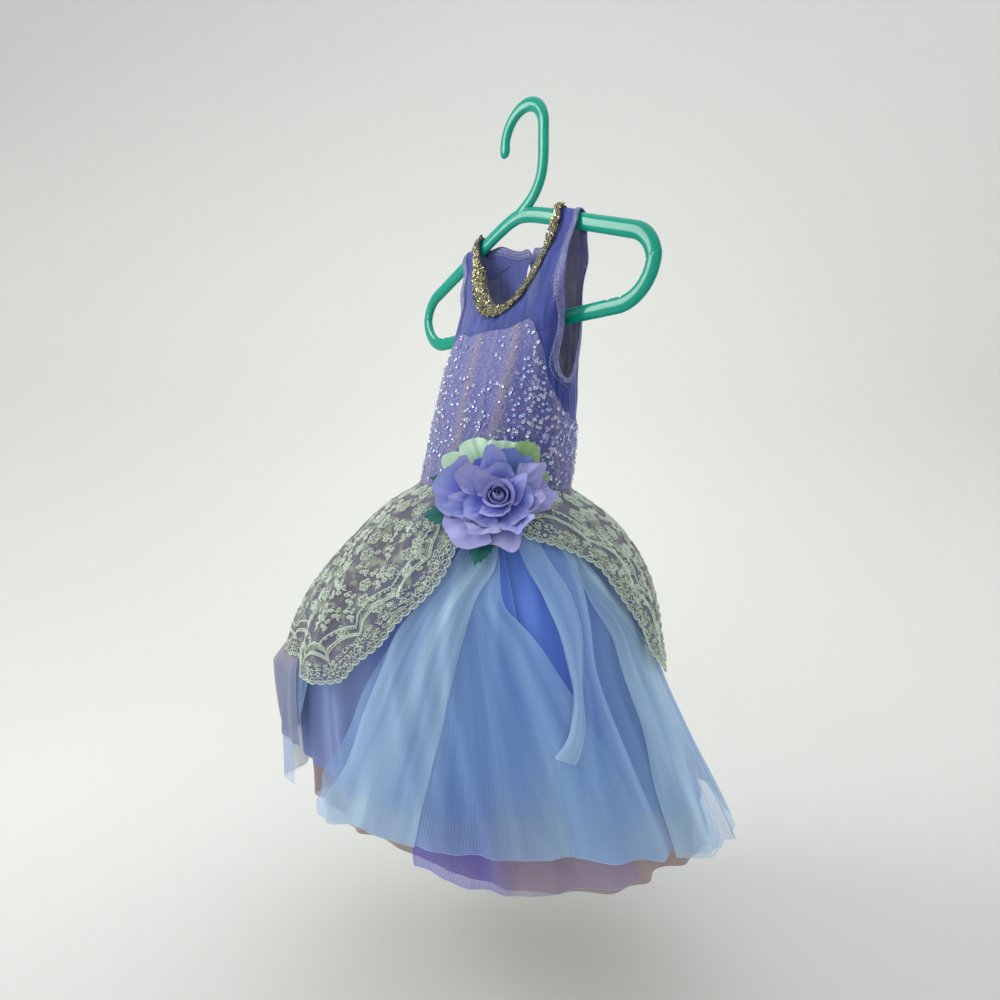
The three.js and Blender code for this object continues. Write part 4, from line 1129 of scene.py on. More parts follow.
# %% Cut edges of the tulle
CUT_EDGES = {"tulle_sky_front": "lrb", "tulle_sky_front_fold": "lb", "tulle_sky_left": "b",
             "tulle_sky_right": "rb", "tulle_violet": "lrb", "fold_band": "lrb",
             "fold_right": "lrb", "fold_left": "lr", "organza_corner": "lrb"}
PLACES = {"l": np.s_[:, 0], "r": np.s_[:, -1], "b": np.s_[-1]}  # left, right, bottom edge
edge_lines = [sheet_grids[name][PLACES[edge]] for name, edges in CUT_EDGES.items()
              for edge in edges]
cords("cut_edges", [(line, line * (1, 1, 0)) for line in edge_lines], 0.17, CUT_EDGE, "sky_tulle")

# %% [markdown]
# Each stitch runs from the inner to the outer side of the band, and stands up in its middle.

# %% Zigzag stitches
STITCH_STEPS = 260


def zigzag(edge, inner, outer, pitch, lift):
    """Slanting stitches between two distances from an armhole edge, lying on the band."""
    inside, outside = (through(inset(edge, width), STITCH_STEPS) for width in (inner, outer))
    count = int(lengths(cloth(*inside.T), 0)[-1] * 1000 / pitch)
    out = np.array([lift - 0.25, lift + 0.12, lift - 0.25])
    paths = []
    for k in range(count):
        a, b, c = (int(STITCH_STEPS * (k + shift) / count) for shift in (0.15, 0.5, 0.85))
        points = np.array([inside[a], (inside[b] + outside[b]) / 2, outside[c]])
        paths.append((cloth(*points.T, out), normals_of(*points.T, cloth)))
    return paths


stitch_paths = []
for flip in (1, -1):
    back_line, front_line = turned_over(behind(back_hole), flip), turned_over(front_hole, flip)
    stitch_paths += zigzag(back_line[3:], -flip * 1.6, -flip * 5.6, 2.4, BAND_THICK + 0.1)
    stitch_paths += zigzag(front_line[3:], flip * 5.0, flip * 6.4, 3.0, BAND_THICK)
cords("zigzag_stitches", stitch_paths, 0.28, SEWING_THREAD, "elastic")

# %% [markdown]
# ## The beaded neck
#
# The front neck edge is covered with bugle beads: short glass tubes, sewn on in every
# direction so that they catch the light like frost. We make one bead and copy it with numpy,
# which is far faster than adding objects, and give each copy its own tint.

# %% Copies of a small shape
def copies(name, shape, shape_faces, centres, axes, finish, slot, *nodes, tints):
    """Many copies of one small shape. axes holds three directions for each copy."""
    points = centres[:, None] + np.einsum("vk,nkd->nvd", np.asarray(shape, float), axes)
    faces = [[v + k * len(shape) for v in face] for k in range(len(centres))
             for face in shape_faces]
    colours = tints[dice.integers(0, len(tints), len(centres))]
    piece = new_piece(name, placed(points.reshape(-1, 3)), faces, finish,
                      colour=np.repeat(colours, len(shape), axis=0), shade_smooth=False)
    belongs(piece, slot, *nodes)
    print(name, len(centres))


def axes_from(normal, turn, tilt_a, tilt_b):
    """Length, width and height directions on a surface, turned and tilted a little."""
    turn, tilt_a, tilt_b = turn[:, None], tilt_a[:, None], tilt_b[:, None]
    helper = np.where(abs(normal[:, 2:]) > 0.9, [[1.0, 0, 0]], [[0, 0, 1.0]])
    east = unit(np.cross(helper, normal))
    north = np.cross(normal, east)
    along = unit(east * np.cos(turn) + north * np.sin(turn) + normal * np.tan(tilt_a))
    across = np.cross(normal, along) + normal * np.tan(tilt_b)
    across = unit(across - along * (across * along).sum(axis=1, keepdims=True))
    return np.stack([along, across, np.cross(along, across)], axis=1)


def attribute_finish(name, **sockets):
    made = Finish(name, **sockets)
    made.feed("Base Color", made.attribute())
    return made.material


GLASS_BEAD = attribute_finish("bugle_glass", Roughness=0.16, Metallic=0.75,
                              Specular_IOR_Level=0.8, Coat_Weight=0.4)
TRIM_GROUND = glitter_elastic("trim_ground", (96, 88, 84), (190, 176, 130))
print("finishes so far:", len(bpy.data.materials))

# %% [markdown]
# The beads are sewn on a glittering braid that follows the neck. A bead is a six-sided tube.

# %% Braid and beads
BEADS, BEAD_LONG, BEAD_THICK, BEAD_SIDES = 3200, 2.9, 0.95, 6
ON_NET = CLOTH + GAP
FINE_ROWS, FINE_COLUMNS = 40, 400
BEAD_TINTS = dyes((158, 140, 74), (112, 94, 56), (150, 152, 146), (92, 88, 66), (172, 168, 112),
                  (126, 132, 108), (62, 58, 54), (204, 204, 186))
trim_lines = [whole_front(half) for half in (neck_half, trim_middle, trim_half)]
band("trim_ground_band", trim_lines[::2], ON_NET - 0.3, ON_NET + 0.9, TRIM_GROUND, 200, "beads")

bead_turn = np.arange(BEAD_SIDES) * 2 * np.pi / BEAD_SIDES
bead_shape = [(end * BEAD_LONG / 2, BEAD_THICK / 2 * math.cos(t), BEAD_THICK / 2 * math.sin(t))
              for end in (-1, 1) for t in bead_turn]
bead_faces = [face[::-1] for face in tube_faces(2, BEAD_SIDES)]
fine_angle, fine_level = refine(trim_lines, FINE_ROWS, FINE_COLUMNS)
row = (dice.uniform(0.04, 0.96, BEADS) * FINE_ROWS).astype(int)
column = (dice.uniform(0.004, 0.996, BEADS) * FINE_COLUMNS).astype(int)
angle = fine_angle[row, column] + dice.uniform(-0.5, 0.5, BEADS)
level = fine_level[row, column] + dice.uniform(-0.3, 0.3, BEADS)
level = np.where(level > 0, level, np.minimum(level, -0.2))
centre = cloth(angle, level, ON_NET + 1.1 + dice.uniform(0, 1.3, BEADS))
normal = normals_of(angle, level, lambda a, l: cloth(a, l, 1.0))
axes = axes_from(normal, dice.uniform(0, np.pi, BEADS), dice.uniform(-0.35, 0.35, BEADS),
                 dice.uniform(-0.3, 0.3, BEADS))
copies("bugle_beads", bead_shape, bead_faces, centre, axes, GLASS_BEAD, "beads", "neck_trim",
       tints=BEAD_TINTS)

# %% [markdown]
# ## The sequinned bodice
#
# The bodice is blue stretch cloth under a skin-coloured net, which is sewn down in long soft
# ridges and carries clear sequins. Where the net bunches it looks taupe; between the ridges the
# blue shines through. We raise the ridges in the mesh and dye them by the same formula, so the
# colour and the shape always agree.

# %% Bodice cloth
RIDGES = [       # a ridge's (angle, level) line, its half width in degrees, its rise
    ([(-11, -107), (-9, -128), (-8.5, -150), (-10, -170), (-12, -190), (-16, -243)], 7.0, 1.2),
    ([(26, -101), (27, -120), (27, -140), (24.5, -158), (20, -180), (14, -205), (9, -243)],
     6.4, 1.3),
    ([(-43, -106), (-41, -142), (-39, -170), (-41, -202), (-45, -243)], 7.0, 1.0),
    ([(8, -108), (8, -140), (6, -175), (2, -215), (-2, -243)], 2.4, 0.6),
    ([(44, -116), (46, -150), (43, -190), (38, -243)], 3.0, 0.6),
    ([(-26, -106), (-25, -150), (-27, -200), (-31, -243)], 2.2, 0.5),
    ([(64, -165), (66, -205), (64, -243)], 3.4, 0.8),
    ([(-66, -165), (-68, -205), (-72, -243)], 3.4, 0.8),
    ([(150, -184), (152, -243)], 4.0, 1.0), ([(178, -184), (176, -243)], 4.0, 1.0),
    ([(-152, -184), (-154, -243)], 4.0, 1.0), ([(110, -184), (112, -243)], 3.5, 0.9),
    ([(-112, -184), (-110, -243)], 3.5, 0.9),
]


def ridge_share(angle, level):
    """1 on the crest of a ridge of the gathered net, falling to 0 beside it; and its rise."""
    share, rise = np.zeros(np.shape(angle)), np.zeros(np.shape(angle))
    for line, width, height in RIDGES:
        angles, levels = np.array(line, float).T
        at = np.interp(-level, -levels, angles)
        here = dip(angle, at, width * (1 + 0.5 * smooth((-level - 160) / 80)))
        share, rise = np.maximum(share, here), rise + height * here
    return share, rise


def sines(angle, level, *waves):
    """A sum of slanting waves, each (size, turns with angle, turns with level)."""
    return sum(size * np.sin(np.radians(angle * a + level * l)) for size, a, l in waves)


def bodice_surface(angle, level, out=0.0):
    crinkle = sines(angle, level, (0.25, 40, 3), (0.2, 13, 47), (0.15, 71, -29))
    return cloth(angle, level, out + CLOTH * 0.7 + ridge_share(angle, level)[1] + 0.5 * crinkle)


BLUE_CLOTH, NET_TAUPE, NET_PINK = dyes((68, 78, 160), (124, 116, 132), (95, 90, 146))


def bodice_dye(angle, level):
    share, rise = ridge_share(angle, level)
    patches = 0.5 + sines(angle, level, (0.25, 9, 5.3), (0.25, -4, 11.7))
    share = clamp01(share * clamp01(rise / 1.2) * 0.85 + 0.12 * smooth(abs(angle) / 80))
    blue = mix(BLUE_CLOTH, NET_PINK, 0.34 * clamp01(patches)[..., None])
    return mix(blue, NET_TAUPE, share[..., None])


def sequin_net(name):
    made = Finish(name, Roughness=0.4, Sheen_Weight=0.4, Specular_IOR_Level=0.5)
    specks = made.noise(900)
    cells = made.node("TexVoronoi", {"Vector": made.stretched(), "Scale": 420.0})
    spots = made.step(cells.outputs["Distance"], 0.16, 0.30, WHITE, BLACK)
    pale = made.blend(made.step(specks, 0.50, 0.68, end=(0.6, 0.6, 0.6, 1)), made.attribute(),
                      dye(138, 130, 176))
    dark = made.blend(made.step(made.noise(520, detail=2.0), 0.34, 0.46, WHITE, BLACK), pale,
                      dye(64, 70, 150))
    made.feed("Base Color", made.blend(spots, dark, dye(140, 146, 206)))
    made.feed("Roughness", made.between(spots, 0.6, 0.35))
    made.bump(made.add(specks, made.times(spots, 0.6)), 0.0004, 0.6)
    return made.material


def bodice_sheet(name, edge, rows, columns, node, turned=False):
    """Bodice cloth from its top edge to the waist. Returns its grids of angle and level."""
    edge = through(edge, columns)
    level = mix(edge[None, :, 1], WAIST - 0.5, np.linspace(0, 1, rows + 1)[:, None])
    most = seam_angle(level)
    angle = np.clip(np.broadcast_to(edge[None, :, 0], level.shape), -most, most)
    angle = 180 - angle if turned else angle
    sheet(name, bodice_surface(angle, level), SEQUIN_NET, "sequin", node, held="stretched",
          colour=bodice_dye(angle, level))
    return angle, level


SEQUIN_NET = sequin_net("sequin_net")
top_half = PANEL_TOP + [(90, -179)]
bodice_front = bodice_sheet("sequin_cloth_front", turned_over(top_half[:0:-1]) + top_half, 90, 260,
                            "bodice_front")
bodice_back = bodice_sheet("sequin_cloth_back",
                           [(a, BACK_PANEL_TOP) for a in np.linspace(-90, 90, 9)], 50, 240,
                           "bodice_back", turned=True)

# %% [markdown]
# A sequin is a small cupped disc with a hole in the middle. Only a few face the lamp at any one
# time, so each is tilted at random. They are thick in some places and thin in others, as on
# cloth where they were sewn in trails.

# %% Sequins
SEQUIN_FILM = attribute_finish("sequin_film", Roughness=0.12, Metallic=0.35, Coat_Weight=0.6,
                               Specular_IOR_Level=0.9, Coat_Roughness=0.05,
                               Thin_Film_Thickness=420)
SEQUIN_TINTS = dyes((206, 222, 248), (176, 196, 244), (196, 176, 226), (216, 238, 246),
                    (168, 160, 226))
SEQUIN_SIZE, SEQUIN_SIDES, SEQUIN_TILT = 3.1, 8, 0.16
CUP = [(0.45, 0.0), (1.0, 0.21)]                        # share of the radius, height
TRAILS = [  # middle (angle, level), spread (angle, level), count
    ((-26, -112), (4, 12), 16), ((46, -130), (4, 8), 10), ((41, -150), (5, 8), 14),
    ((38, -166), (8, 6), 18), ((50, -166), (4, 5), 10), ((36, -190), (6, 8), 26),
    ((28, -203), (6, 5), 16), ((62, -205), (12, 14), 60), ((-36, -150), (6, 26), 30),
    ((-30, -205), (10, 20), 40), ((4, -184), (8, 14), 22), ((-52, -200), (9, 26), 36),
]
sequin_turn = np.arange(SEQUIN_SIDES) * 2 * np.pi / SEQUIN_SIDES
sequin_shape = [(SEQUIN_SIZE / 2 * r * math.cos(t), SEQUIN_SIZE / 2 * r * math.sin(t), h)
                for r, h in CUP for t in sequin_turn]
sequin_faces = grid_faces(1, SEQUIN_SIDES, ring=True)[:, ::-1].tolist()


def sequins_on(name, grids, count, trails, most):
    """Sequins at random places of a bodice sheet, and along trails, up to an angle."""
    rows, columns = grids[0].shape
    i, j = dice.integers(2, rows - 2, count), dice.integers(2, columns - 2, count)
    angle, level = grids[0][i, j], grids[1][i, j]
    for middle_at, spread, number in trails:
        angle, level = (np.concatenate([v, dice.normal(at, width, number)])
                        for v, at, width in zip((angle, level), middle_at, spread))
    top_angle, top_level = (grid[0][np.argsort(grids[0][0])] for grid in grids)
    keep = ((level < np.interp(angle, top_angle, top_level) - 2.5) & (level > WAIST + 2)
            & (abs(wrap(angle)) < most))
    angle, level = angle[keep], level[keep]
    total = len(angle)
    centre, normal = bodice_surface(angle, level, 0.7), normals_of(angle, level, bodice_surface)
    size = dice.uniform(0.55, 1.05, total)[:, None, None]
    axes = axes_from(normal, dice.uniform(0, 2 * np.pi, total),
                     dice.normal(0, SEQUIN_TILT, total), dice.normal(0, SEQUIN_TILT, total))
    copies(name, sequin_shape, sequin_faces, centre, axes * size, SEQUIN_FILM, "sequin",
           tints=SEQUIN_TINTS)


sequins_on("sequins_front", bodice_front, 330, TRAILS, 88)
sequins_on("sequins_back", bodice_back, 520, [], 181)

# %% [markdown]
# ## The lace falls
#
# Two falls of corded lace hang over the hips. Machine lace like this starts as a soft net, and
# a thick mint cord is sewn on it in scallops, flowers and sprigs, so the pattern stands up from
# the net. The net is a sheet below a scalloped edge line, with darned patches in its material.

# %% Lace net
LACE_EDGES = {
    "right": [(8, -268), (1, -294), (-4, -330), (-12, -358), (-17, -382), (-24, -402),
              (-31, -420), (-44, -423), (-56, -410), (-72, -416), (-90, -398), (-112, -402),
              (-134, -384), (-156, -392), (-179.6, -374)],
    "left": [(18, -268), (27, -282), (35, -287), (43, -294), (50, -304), (54, -324), (60, -352),
             (68, -384), (78, -402), (92, -392), (108, -402), (126, -384), (144, -392),
             (162, -374), (179.6, -376)],
}
LACE_TOP = WAIST - GAP


def lace_surface(angle, level, out=0.0):
    folds = 0.8 * smooth((LACE_TOP - level) / 30)
    drape = 2.4 * smooth((LACE_TOP - level) / 60) * np.sin(np.radians(angle * 7.3 + 20))
    return skirt("sky", angle, level, ease_out(level, 2.05, 8.4, 18) + drape + out, folds=folds)


def lace_net(name, opacity):
    made = Finish(name, Roughness=0.75, Sheen_Weight=0.3, Specular_IOR_Level=0.2)
    threads = made.step(made.threads(750.0, 0.35), 0.10, 0.26, WHITE, BLACK)
    filled = made.step(made.noise(85, detail=4.0, distortion=0.6), 0.50, 0.60)
    ground = made.blend(made.noise(14, detail=2.0), dye(150, 140, 144), dye(112, 110, 130))
    made.feed("Base Color", made.blend(filled, ground, dye(160, 168, 152)))
    made.feed("Alpha", made.add(made.times(threads, 0.2),
                                made.add(made.times(filled, 0.3), opacity)))
    made.bump(made.add(threads, filled), 0.0004, 0.7)
    return made.material


LACE_NET = lace_net("lace_net", 0.42)
MINT_CORD = thread("mint_cord", (214, 230, 212), roughness=0.45)
print("lace edges:", {side: len(line) for side, line in LACE_EDGES.items()})

# %% [markdown]
# Each cord is drawn in lace sizes: `run` along the scalloped edge and `up` from it, both in
# millimetres. A `Lace` measures from its edge and a `Spot` from one place on it. All cords are
# laid on the cloth together at the end, in one numpy call, because that is far faster.

# %% Places on the lace
SLANT = 1.15                                            # cloth length for a millimetre of level


def degree_wide(angle, level):
    """Millimetres of lace in one degree round the hips."""
    return np.linalg.norm(lace_surface(angle + 0.5, level) - lace_surface(angle - 0.5, level),
                          axis=-1)


class Spot:
    """A place on a fall, with lace sizes measured from it."""

    def __init__(self, angle, level):
        self.angle, self.level = angle, level
        self.per_degree = float(degree_wide(angle, level))

    def cord(self, run, up, lift=0.35):
        run, up, lift = np.broadcast_arrays(np.asarray(run, float), up, lift)
        level = np.minimum(self.level + up / 1.1, LACE_TOP - 1)
        return np.stack([self.angle + run / self.per_degree, level, lift], axis=1)


class Lace:
    """One fall: its scalloped edge, and a way from lace sizes to the cloth."""

    def __init__(self, edge, name):
        self.name, self.edge = name, through(edge, 400)
        self.run = lengths(lace_surface(*self.edge.T), 0) * 1000
        self.length = self.run[-1]

    def on_edge(self, run):
        return np.array([np.interp(run, self.run, column) for column in self.edge.T])

    def at(self, run, up, near=4.0):
        """(angle, level) of a place `run` along the edge and `up` towards the waist."""
        angle, level = self.on_edge(run)
        turned, sunk = self.on_edge(run + near) - self.on_edge(run - near)
        per_degree = degree_wide(angle, level)
        turned, sunk = turned * per_degree, sunk * SLANT
        size = np.maximum(np.hypot(turned, sunk), 1e-6) * np.sign(self.edge[-1, 0]
                                                                  - self.edge[0, 0])
        angle, level = angle - sunk / size * up / per_degree, level + turned / size * up / SLANT
        return angle, np.minimum(level, LACE_TOP - 1)

    def cord(self, run, up, lift=0.35):
        """One cord, still in lace sizes."""
        return np.stack(np.broadcast_arrays(np.asarray(run, float), up, lift), axis=1)

    def sewn(self, drawn, at_spots):
        """All cords, laid on the cloth: those drawn along the edge, then those at spots."""
        along_edge, spots = np.concatenate(drawn), np.concatenate(at_spots)
        angle, level = np.concatenate([self.at(*along_edge[:, :2].T), spots[:, :2].T], axis=1)
        points = lace_surface(angle, level, np.concatenate([along_edge, spots])[:, 2])
        cuts = np.cumsum([len(cord) for cord in drawn + at_spots])[:-1]
        return list(zip(np.split(points, cuts),
                        np.split(normals_of(angle, level, lace_surface), cuts)))


falls = [Lace(edge, name) for name, edge in LACE_EDGES.items()]
for fall in falls:
    edge = through([tuple(p) for p in fall.edge[::20]] + [tuple(fall.edge[-1])], 260)
    wave = 1.1 * np.sin(fall.length / 260 * np.arange(261) * 2 * np.pi / 9.0)
    level = mix(LACE_TOP, edge[:, 1] + wave * 0.8, np.linspace(0, 1, 61)[:, None] ** 0.95)
    level = np.maximum(level, edge[:, 1] + wave)
    sheet(f"lace_net_{fall.name}",
          lace_surface(np.broadcast_to(edge[:, 0], level.shape), level), LACE_NET, "lace",
          f"lace_{fall.name}")
    print("lace edge", fall.name, round(fall.length), "mm")

# %% [markdown]
# The edge is built from outside in: small scallops with a loop in each, a close border of
# little flowers and leaves, and two lines of dots that frame a bare ribbon of net.

# %% Drawing the edge
SCALLOP, BORDER, DOT, FRAME_STEP = 8.6, 4.4, 3.1, 2.2   # spacing along the edge


def arc_points(run, up, radius, start, end, count, squash=1.0):
    turn = np.radians(np.linspace(start, end, count))
    return run + radius * np.cos(turn), up + radius * squash * np.sin(turn)


def band_height(run, number):
    """The dotted double line swings up and down in large scallops."""
    return 19 + 9 * abs(np.sin(np.pi * run / 47.0 + number))


def scallop(fall, middle):
    """One edge scallop with its picot loop, and five spokes between them."""
    loops = [fall.cord(*arc_points(middle, 1.8, 2.4, 0, 360, 8, 0.8), 0.5)]
    for spoke in range(5):
        turn, reach = math.radians(205 + 32 * spoke), np.linspace(2.6, 4.3, 3)
        loops.append(fall.cord(middle + reach * math.cos(turn), 1.6 + reach * math.sin(turn), 0.5))
    return [fall.cord(*arc_points(middle, 1.6, 4.6, 190, 350, 9))], loops


def border_loop(fall, middle, up):
    """One loop of the close border, of any size, turn and openness."""
    size, turn = chance.uniform(1.3, 2.5), chance.uniform(0, 360)
    run, up = arc_points(middle + chance.uniform(-1.5, 1.5), up, size, turn,
                         turn + chance.uniform(230, 400), 8, chance.uniform(0.55, 1))
    is_heavy = chance.random() < 0.35
    return is_heavy, fall.cord(run, up, chance.uniform(0.3, 0.8))


def draw_edge(fall, number):
    heavy, fine, dots = [], [], []
    count = int(fall.length / SCALLOP)
    for k in range(count):
        outline, loops = scallop(fall, (k + 0.5) * fall.length / count)
        heavy += outline
        fine += loops
    for k in range(int(fall.length / BORDER)):
        middle = k * BORDER + chance.uniform(-1, 1)
        for row in range(3):
            up = 6 + row * 4.6 + chance.uniform(-1.3, 1.3)
            if up <= band_height(middle, number) - 3:
                is_heavy, cord = border_loop(fall, middle, up)
                (heavy if is_heavy else fine).append(cord)
    line = np.arange(2, fall.length - 2, FRAME_STEP)
    heavy += [fall.cord(line, band_height(line, number) + up, 0.5) for up in (-1.4, 0.94)]
    for k in range(int(fall.length / DOT)):
        for along, up, radius, lift in ((1, 0.1, 0.95, 0.75), (2.2, 8.5, 0.85, 0.7)):
            up += band_height(k * DOT + 1, number)
            dots.append(fall.cord(*arc_points(k * DOT + along, up, radius, 0, 360, 6), lift))
    heavy.append(fall.cord(line, band_height(line, number) + 10.2, 0.5))
    return heavy, fine, dots


print("scallops:", {fall.name: int(fall.length / SCALLOP) for fall in falls})

# %% [markdown]
# Above the edge the lace is scattered with roses, sprigs and darned leaves. Each motif is a
# few short cords round its own middle.

# %% Drawing the motifs
def spin(x, y, degrees):
    """Sizes along and across a direction, as (run, up)."""
    c, s = math.cos(math.radians(degrees)), math.sin(math.radians(degrees))
    return x * c - y * s, x * s + y * c


def rose_motif(spot, size):
    rings = [spot.cord(*arc_points(0, 0, size * r, turn, turn + 320, 16, 0.95), lift)
             for r, turn, lift in ((1, 20, 0.5), (0.78, 200, 0.7), (0.52, 80, 0.8), (0.25, 0, 0.9))]
    for turn in range(0, 360, 60):
        run, up = spin(size, 0, turn)
        rings.append(spot.cord(*arc_points(run * 1.25, up * 1.2, size * 0.38, turn - 120,
                                           turn + 120, 8, 0.9), 0.6))
    return rings


def leaf_motif(spot, run, up, size, turn):
    t = np.linspace(0, 1, 9)
    sides = [spin(size * t, size * bow * np.sin(np.pi * t), turn) for bow in (0.32, -0.32, 0.0)]
    return [spot.cord(run + x, up + y, 0.5) for x, y in sides]


def sprig(spot, run, up, size, turn):
    def stem(t):
        x, y = spin(size * t, size * 0.1 * np.sin(2.4 * np.pi * t), turn)
        return run + x, up + y

    tip = spin(size, 0, turn)
    leaves = [leaf_motif(spot, *stem(0.2 + 0.22 * k), size * 0.34, turn + (55 if k % 2 else -55))
              for k in range(4)]
    return ([spot.cord(*stem(np.linspace(0, 1, 12)), 0.5)] + sum(leaves, [])
            + [spot.cord(*arc_points(run + tip[0], up + tip[1], size * 0.12, 0, 330, 8), 0.7)])


def flower_cluster(spot, size):
    made = []
    for turn in range(20, 380, 72):
        run, up = spin(size * 0.55, 0, turn)
        made += [spot.cord(*arc_points(run, up, size * 0.4, turn - 150, turn + 150, 9), 0.6),
                 spot.cord(*arc_points(run, up, size * 0.22, turn - 150, turn + 190, 7), 0.8)]
    return made + [spot.cord(*arc_points(0, 0, size * 0.16, 0, 360, 7), 0.9)]


def draw_motif(spot):
    kind = chance.randrange(4)
    if kind == 0:
        return rose_motif(spot, 4.6)
    if kind == 1:
        return flower_cluster(spot, 6.4) + leaf_motif(spot, 7, 2, 6, 20)
    turn = chance.uniform(15, 165)
    return sprig(spot, -7 * math.cos(math.radians(turn)), -6, 15, turn)


print("cords in a rose:", len(rose_motif(Spot(0, -300), 4.6)))

# %% [markdown]
# Motifs are set in staggered rows, wherever the fall is wide enough above its border.

# %% Sewing the cords
MOTIF_ROWS, ROW_DROP, MOTIF_APART, ABOVE_EDGE = 11, 14, 16, 37
CORD_RADII = {"heavy": 0.6, "fine": 0.42, "dots": 0.5, "motif": 0.46}
for number, fall in enumerate(falls):
    drawn = draw_edge(fall, number)
    motifs = []
    side = 1 if fall.edge[-1, 0] > 0 else -1
    across, edge_levels = fall.edge[np.argsort(fall.edge[:, 0])].T
    for row in range(MOTIF_ROWS):
        level = LACE_TOP - 8 - row * ROW_DROP
        angle = (14 if row % 2 else 4) + 4 * number
        while angle < 178:
            spot = Spot(side * angle + chance.uniform(-1.5, 1.5), level + chance.uniform(-2.5, 2.5))
            if (across[0] + 2 < spot.angle < across[-1] - 2
                    and level > np.interp(spot.angle, across, edge_levels) + ABOVE_EDGE):
                motifs += draw_motif(spot)
            angle += MOTIF_APART / spot.per_degree * chance.uniform(0.9, 1.25)
    edge_cords = sum(drawn, [])
    sewn = fall.sewn(edge_cords, motifs)
    radii = np.repeat(list(CORD_RADII.values()), [len(part) for part in (*drawn, motifs)])
    for part, some in (("edge", np.s_[:len(edge_cords)]), ("motifs", np.s_[len(edge_cords):])):
        cords(f"lace_{part}_cords_{fall.name}", sewn[some], radii[some], MINT_CORD, "lace")

# %% [markdown]
# ## The silk rose
#
# The rose is made the milliner's way. Petals are cut from stiffened silk, and their rims are
# curled over a hot iron. They are glued in rings round a rolled bud, over ribbon lobes and stiff
# green leaves. Petals, lobes and leaves are coloured dark at the root and pale at the rim; the
# dark root is painted shade deep in the flower. We place each petal where its solid is in the
# frame, and then curl, cup and ruffle it.

# %% Where the flower sits
FLOWER_ANGLE, FLOWER_LEVEL, FLOWER_OUT, FACES, TILT = 20, -254, 11, 44, 24
BED_BELOW, BED_ABOVE, BED_REACH = 12, 15, 48            # how far petals lift off the waist
flower_middle = cloth(FLOWER_ANGLE, FLOWER_LEVEL, FLOWER_OUT)
sideways = np.array([math.cos(math.radians(FACES)), math.sin(math.radians(FACES)), 0])
flat_out = Vector((sideways[1], -sideways[0], 0))
outward = np.array(Matrix.Rotation(-math.radians(TILT), 3, Vector(sideways)) @ flat_out)
upward = np.cross(outward, sideways)


def on_flower(radius, turn, height):
    """A point of the flower, from its middle, a turn round it and a height above its bed."""
    radius, turn, height = np.broadcast_arrays(*(np.asarray(v, float)
                                                 for v in (radius, turn, height)))
    sine = np.sin(np.radians(turn))
    bed = np.where(sine < 0, BED_BELOW, BED_ABOVE) * sine**2 * smooth(radius / BED_REACH)
    return (flower_middle + sideways * (radius * np.cos(np.radians(turn)))[..., None]
            + upward * (radius * sine)[..., None] + outward * (bed + height)[..., None])


print("flower middle", flower_middle.round(1), "faces", outward.round(2))

# %% [markdown]
# Silk has a fine square weave and a soft sheen, and a little light comes through it.

# %% Silk finishes
SILK_THREADS, THROUGH = 420.0, 0.002                    # weave bands to the metre; metres


def silk(name):
    made = Finish(name, Roughness=0.5, Sheen_Weight=0.4, Specular_IOR_Level=0.35,
                  Subsurface_Weight=0.12, Subsurface_Scale=THROUGH)
    warp, weft = (made.bands(SILK_THREADS, direction) for direction in "XY")
    cloudy = made.noise(60)
    made.feed("Base Color", made.blend(made.between(cloudy, 0.0, 0.16), made.attribute(),
                                       dye(60, 66, 150)))
    made.bump(made.add(made.times(warp, 0.5), made.add(weft, cloudy)), 0.0003, 0.5)
    return made.material


def leaf_cloth(name, tint, roughness, gloss):
    made = Finish(name, Roughness=roughness, Specular_IOR_Level=gloss, Subsurface_Weight=0.1,
                  Subsurface_Scale=THROUGH)
    cloudy = made.noise(50)
    made.feed("Base Color", made.blend(made.between(cloudy, 0.0, 0.3), made.attribute(),
                                       dye(*tint)))
    made.bump(cloudy, 0.0004, 0.5)
    return made.material


ROSE_SILK = silk("rose_silk")
MINT_RIBBON = leaf_cloth("mint_ribbon", (120, 170, 110), 0.55, 0.35)
TEAL_LEAF = leaf_cloth("teal_leaf", (6, 70, 66), 0.45, 0.5)
# Colours for root, middle and rim. The dark roots here and in the green ramps below are painted
# shade deep in the flower.
SILK = dyes((72, 90, 214), (112, 126, 230), (174, 180, 242))            # root, middle, rim
BLUSH = dyes((180, 176, 234))[0]
DARK_SILK = (SILK[0], mix(SILK[0], SILK[1], 0.6), SILK[1])
PALE_SILK = (SILK[1], SILK[2], BLUSH)
BUD_SILK = (mix(SILK[0], SILK[1], 0.7), mix(SILK[1], SILK[2], 0.5), BLUSH)
TEAL_SILK = (SILK[0], *dyes((84, 122, 196), (128, 150, 220)))
MINT = dyes((144, 194, 158), (182, 222, 194), (208, 236, 214))
OLIVE = dyes((92, 128, 84), (128, 164, 112), (156, 188, 136))
TEAL = dyes((4, 62, 60), (8, 92, 88), (16, 120, 112))
print("silks dyed from", SILK[0].round(2), "to", BLUSH.round(2))

# %% [markdown]
# One function makes every petal. `way` runs from root to rim and `side` across. The rim rolls
# back, the sides curl up, and a slow ruffle keeps two petals from looking alike.

# %% Petals
PETAL_ROWS, PETAL_COLUMNS = 26, 36


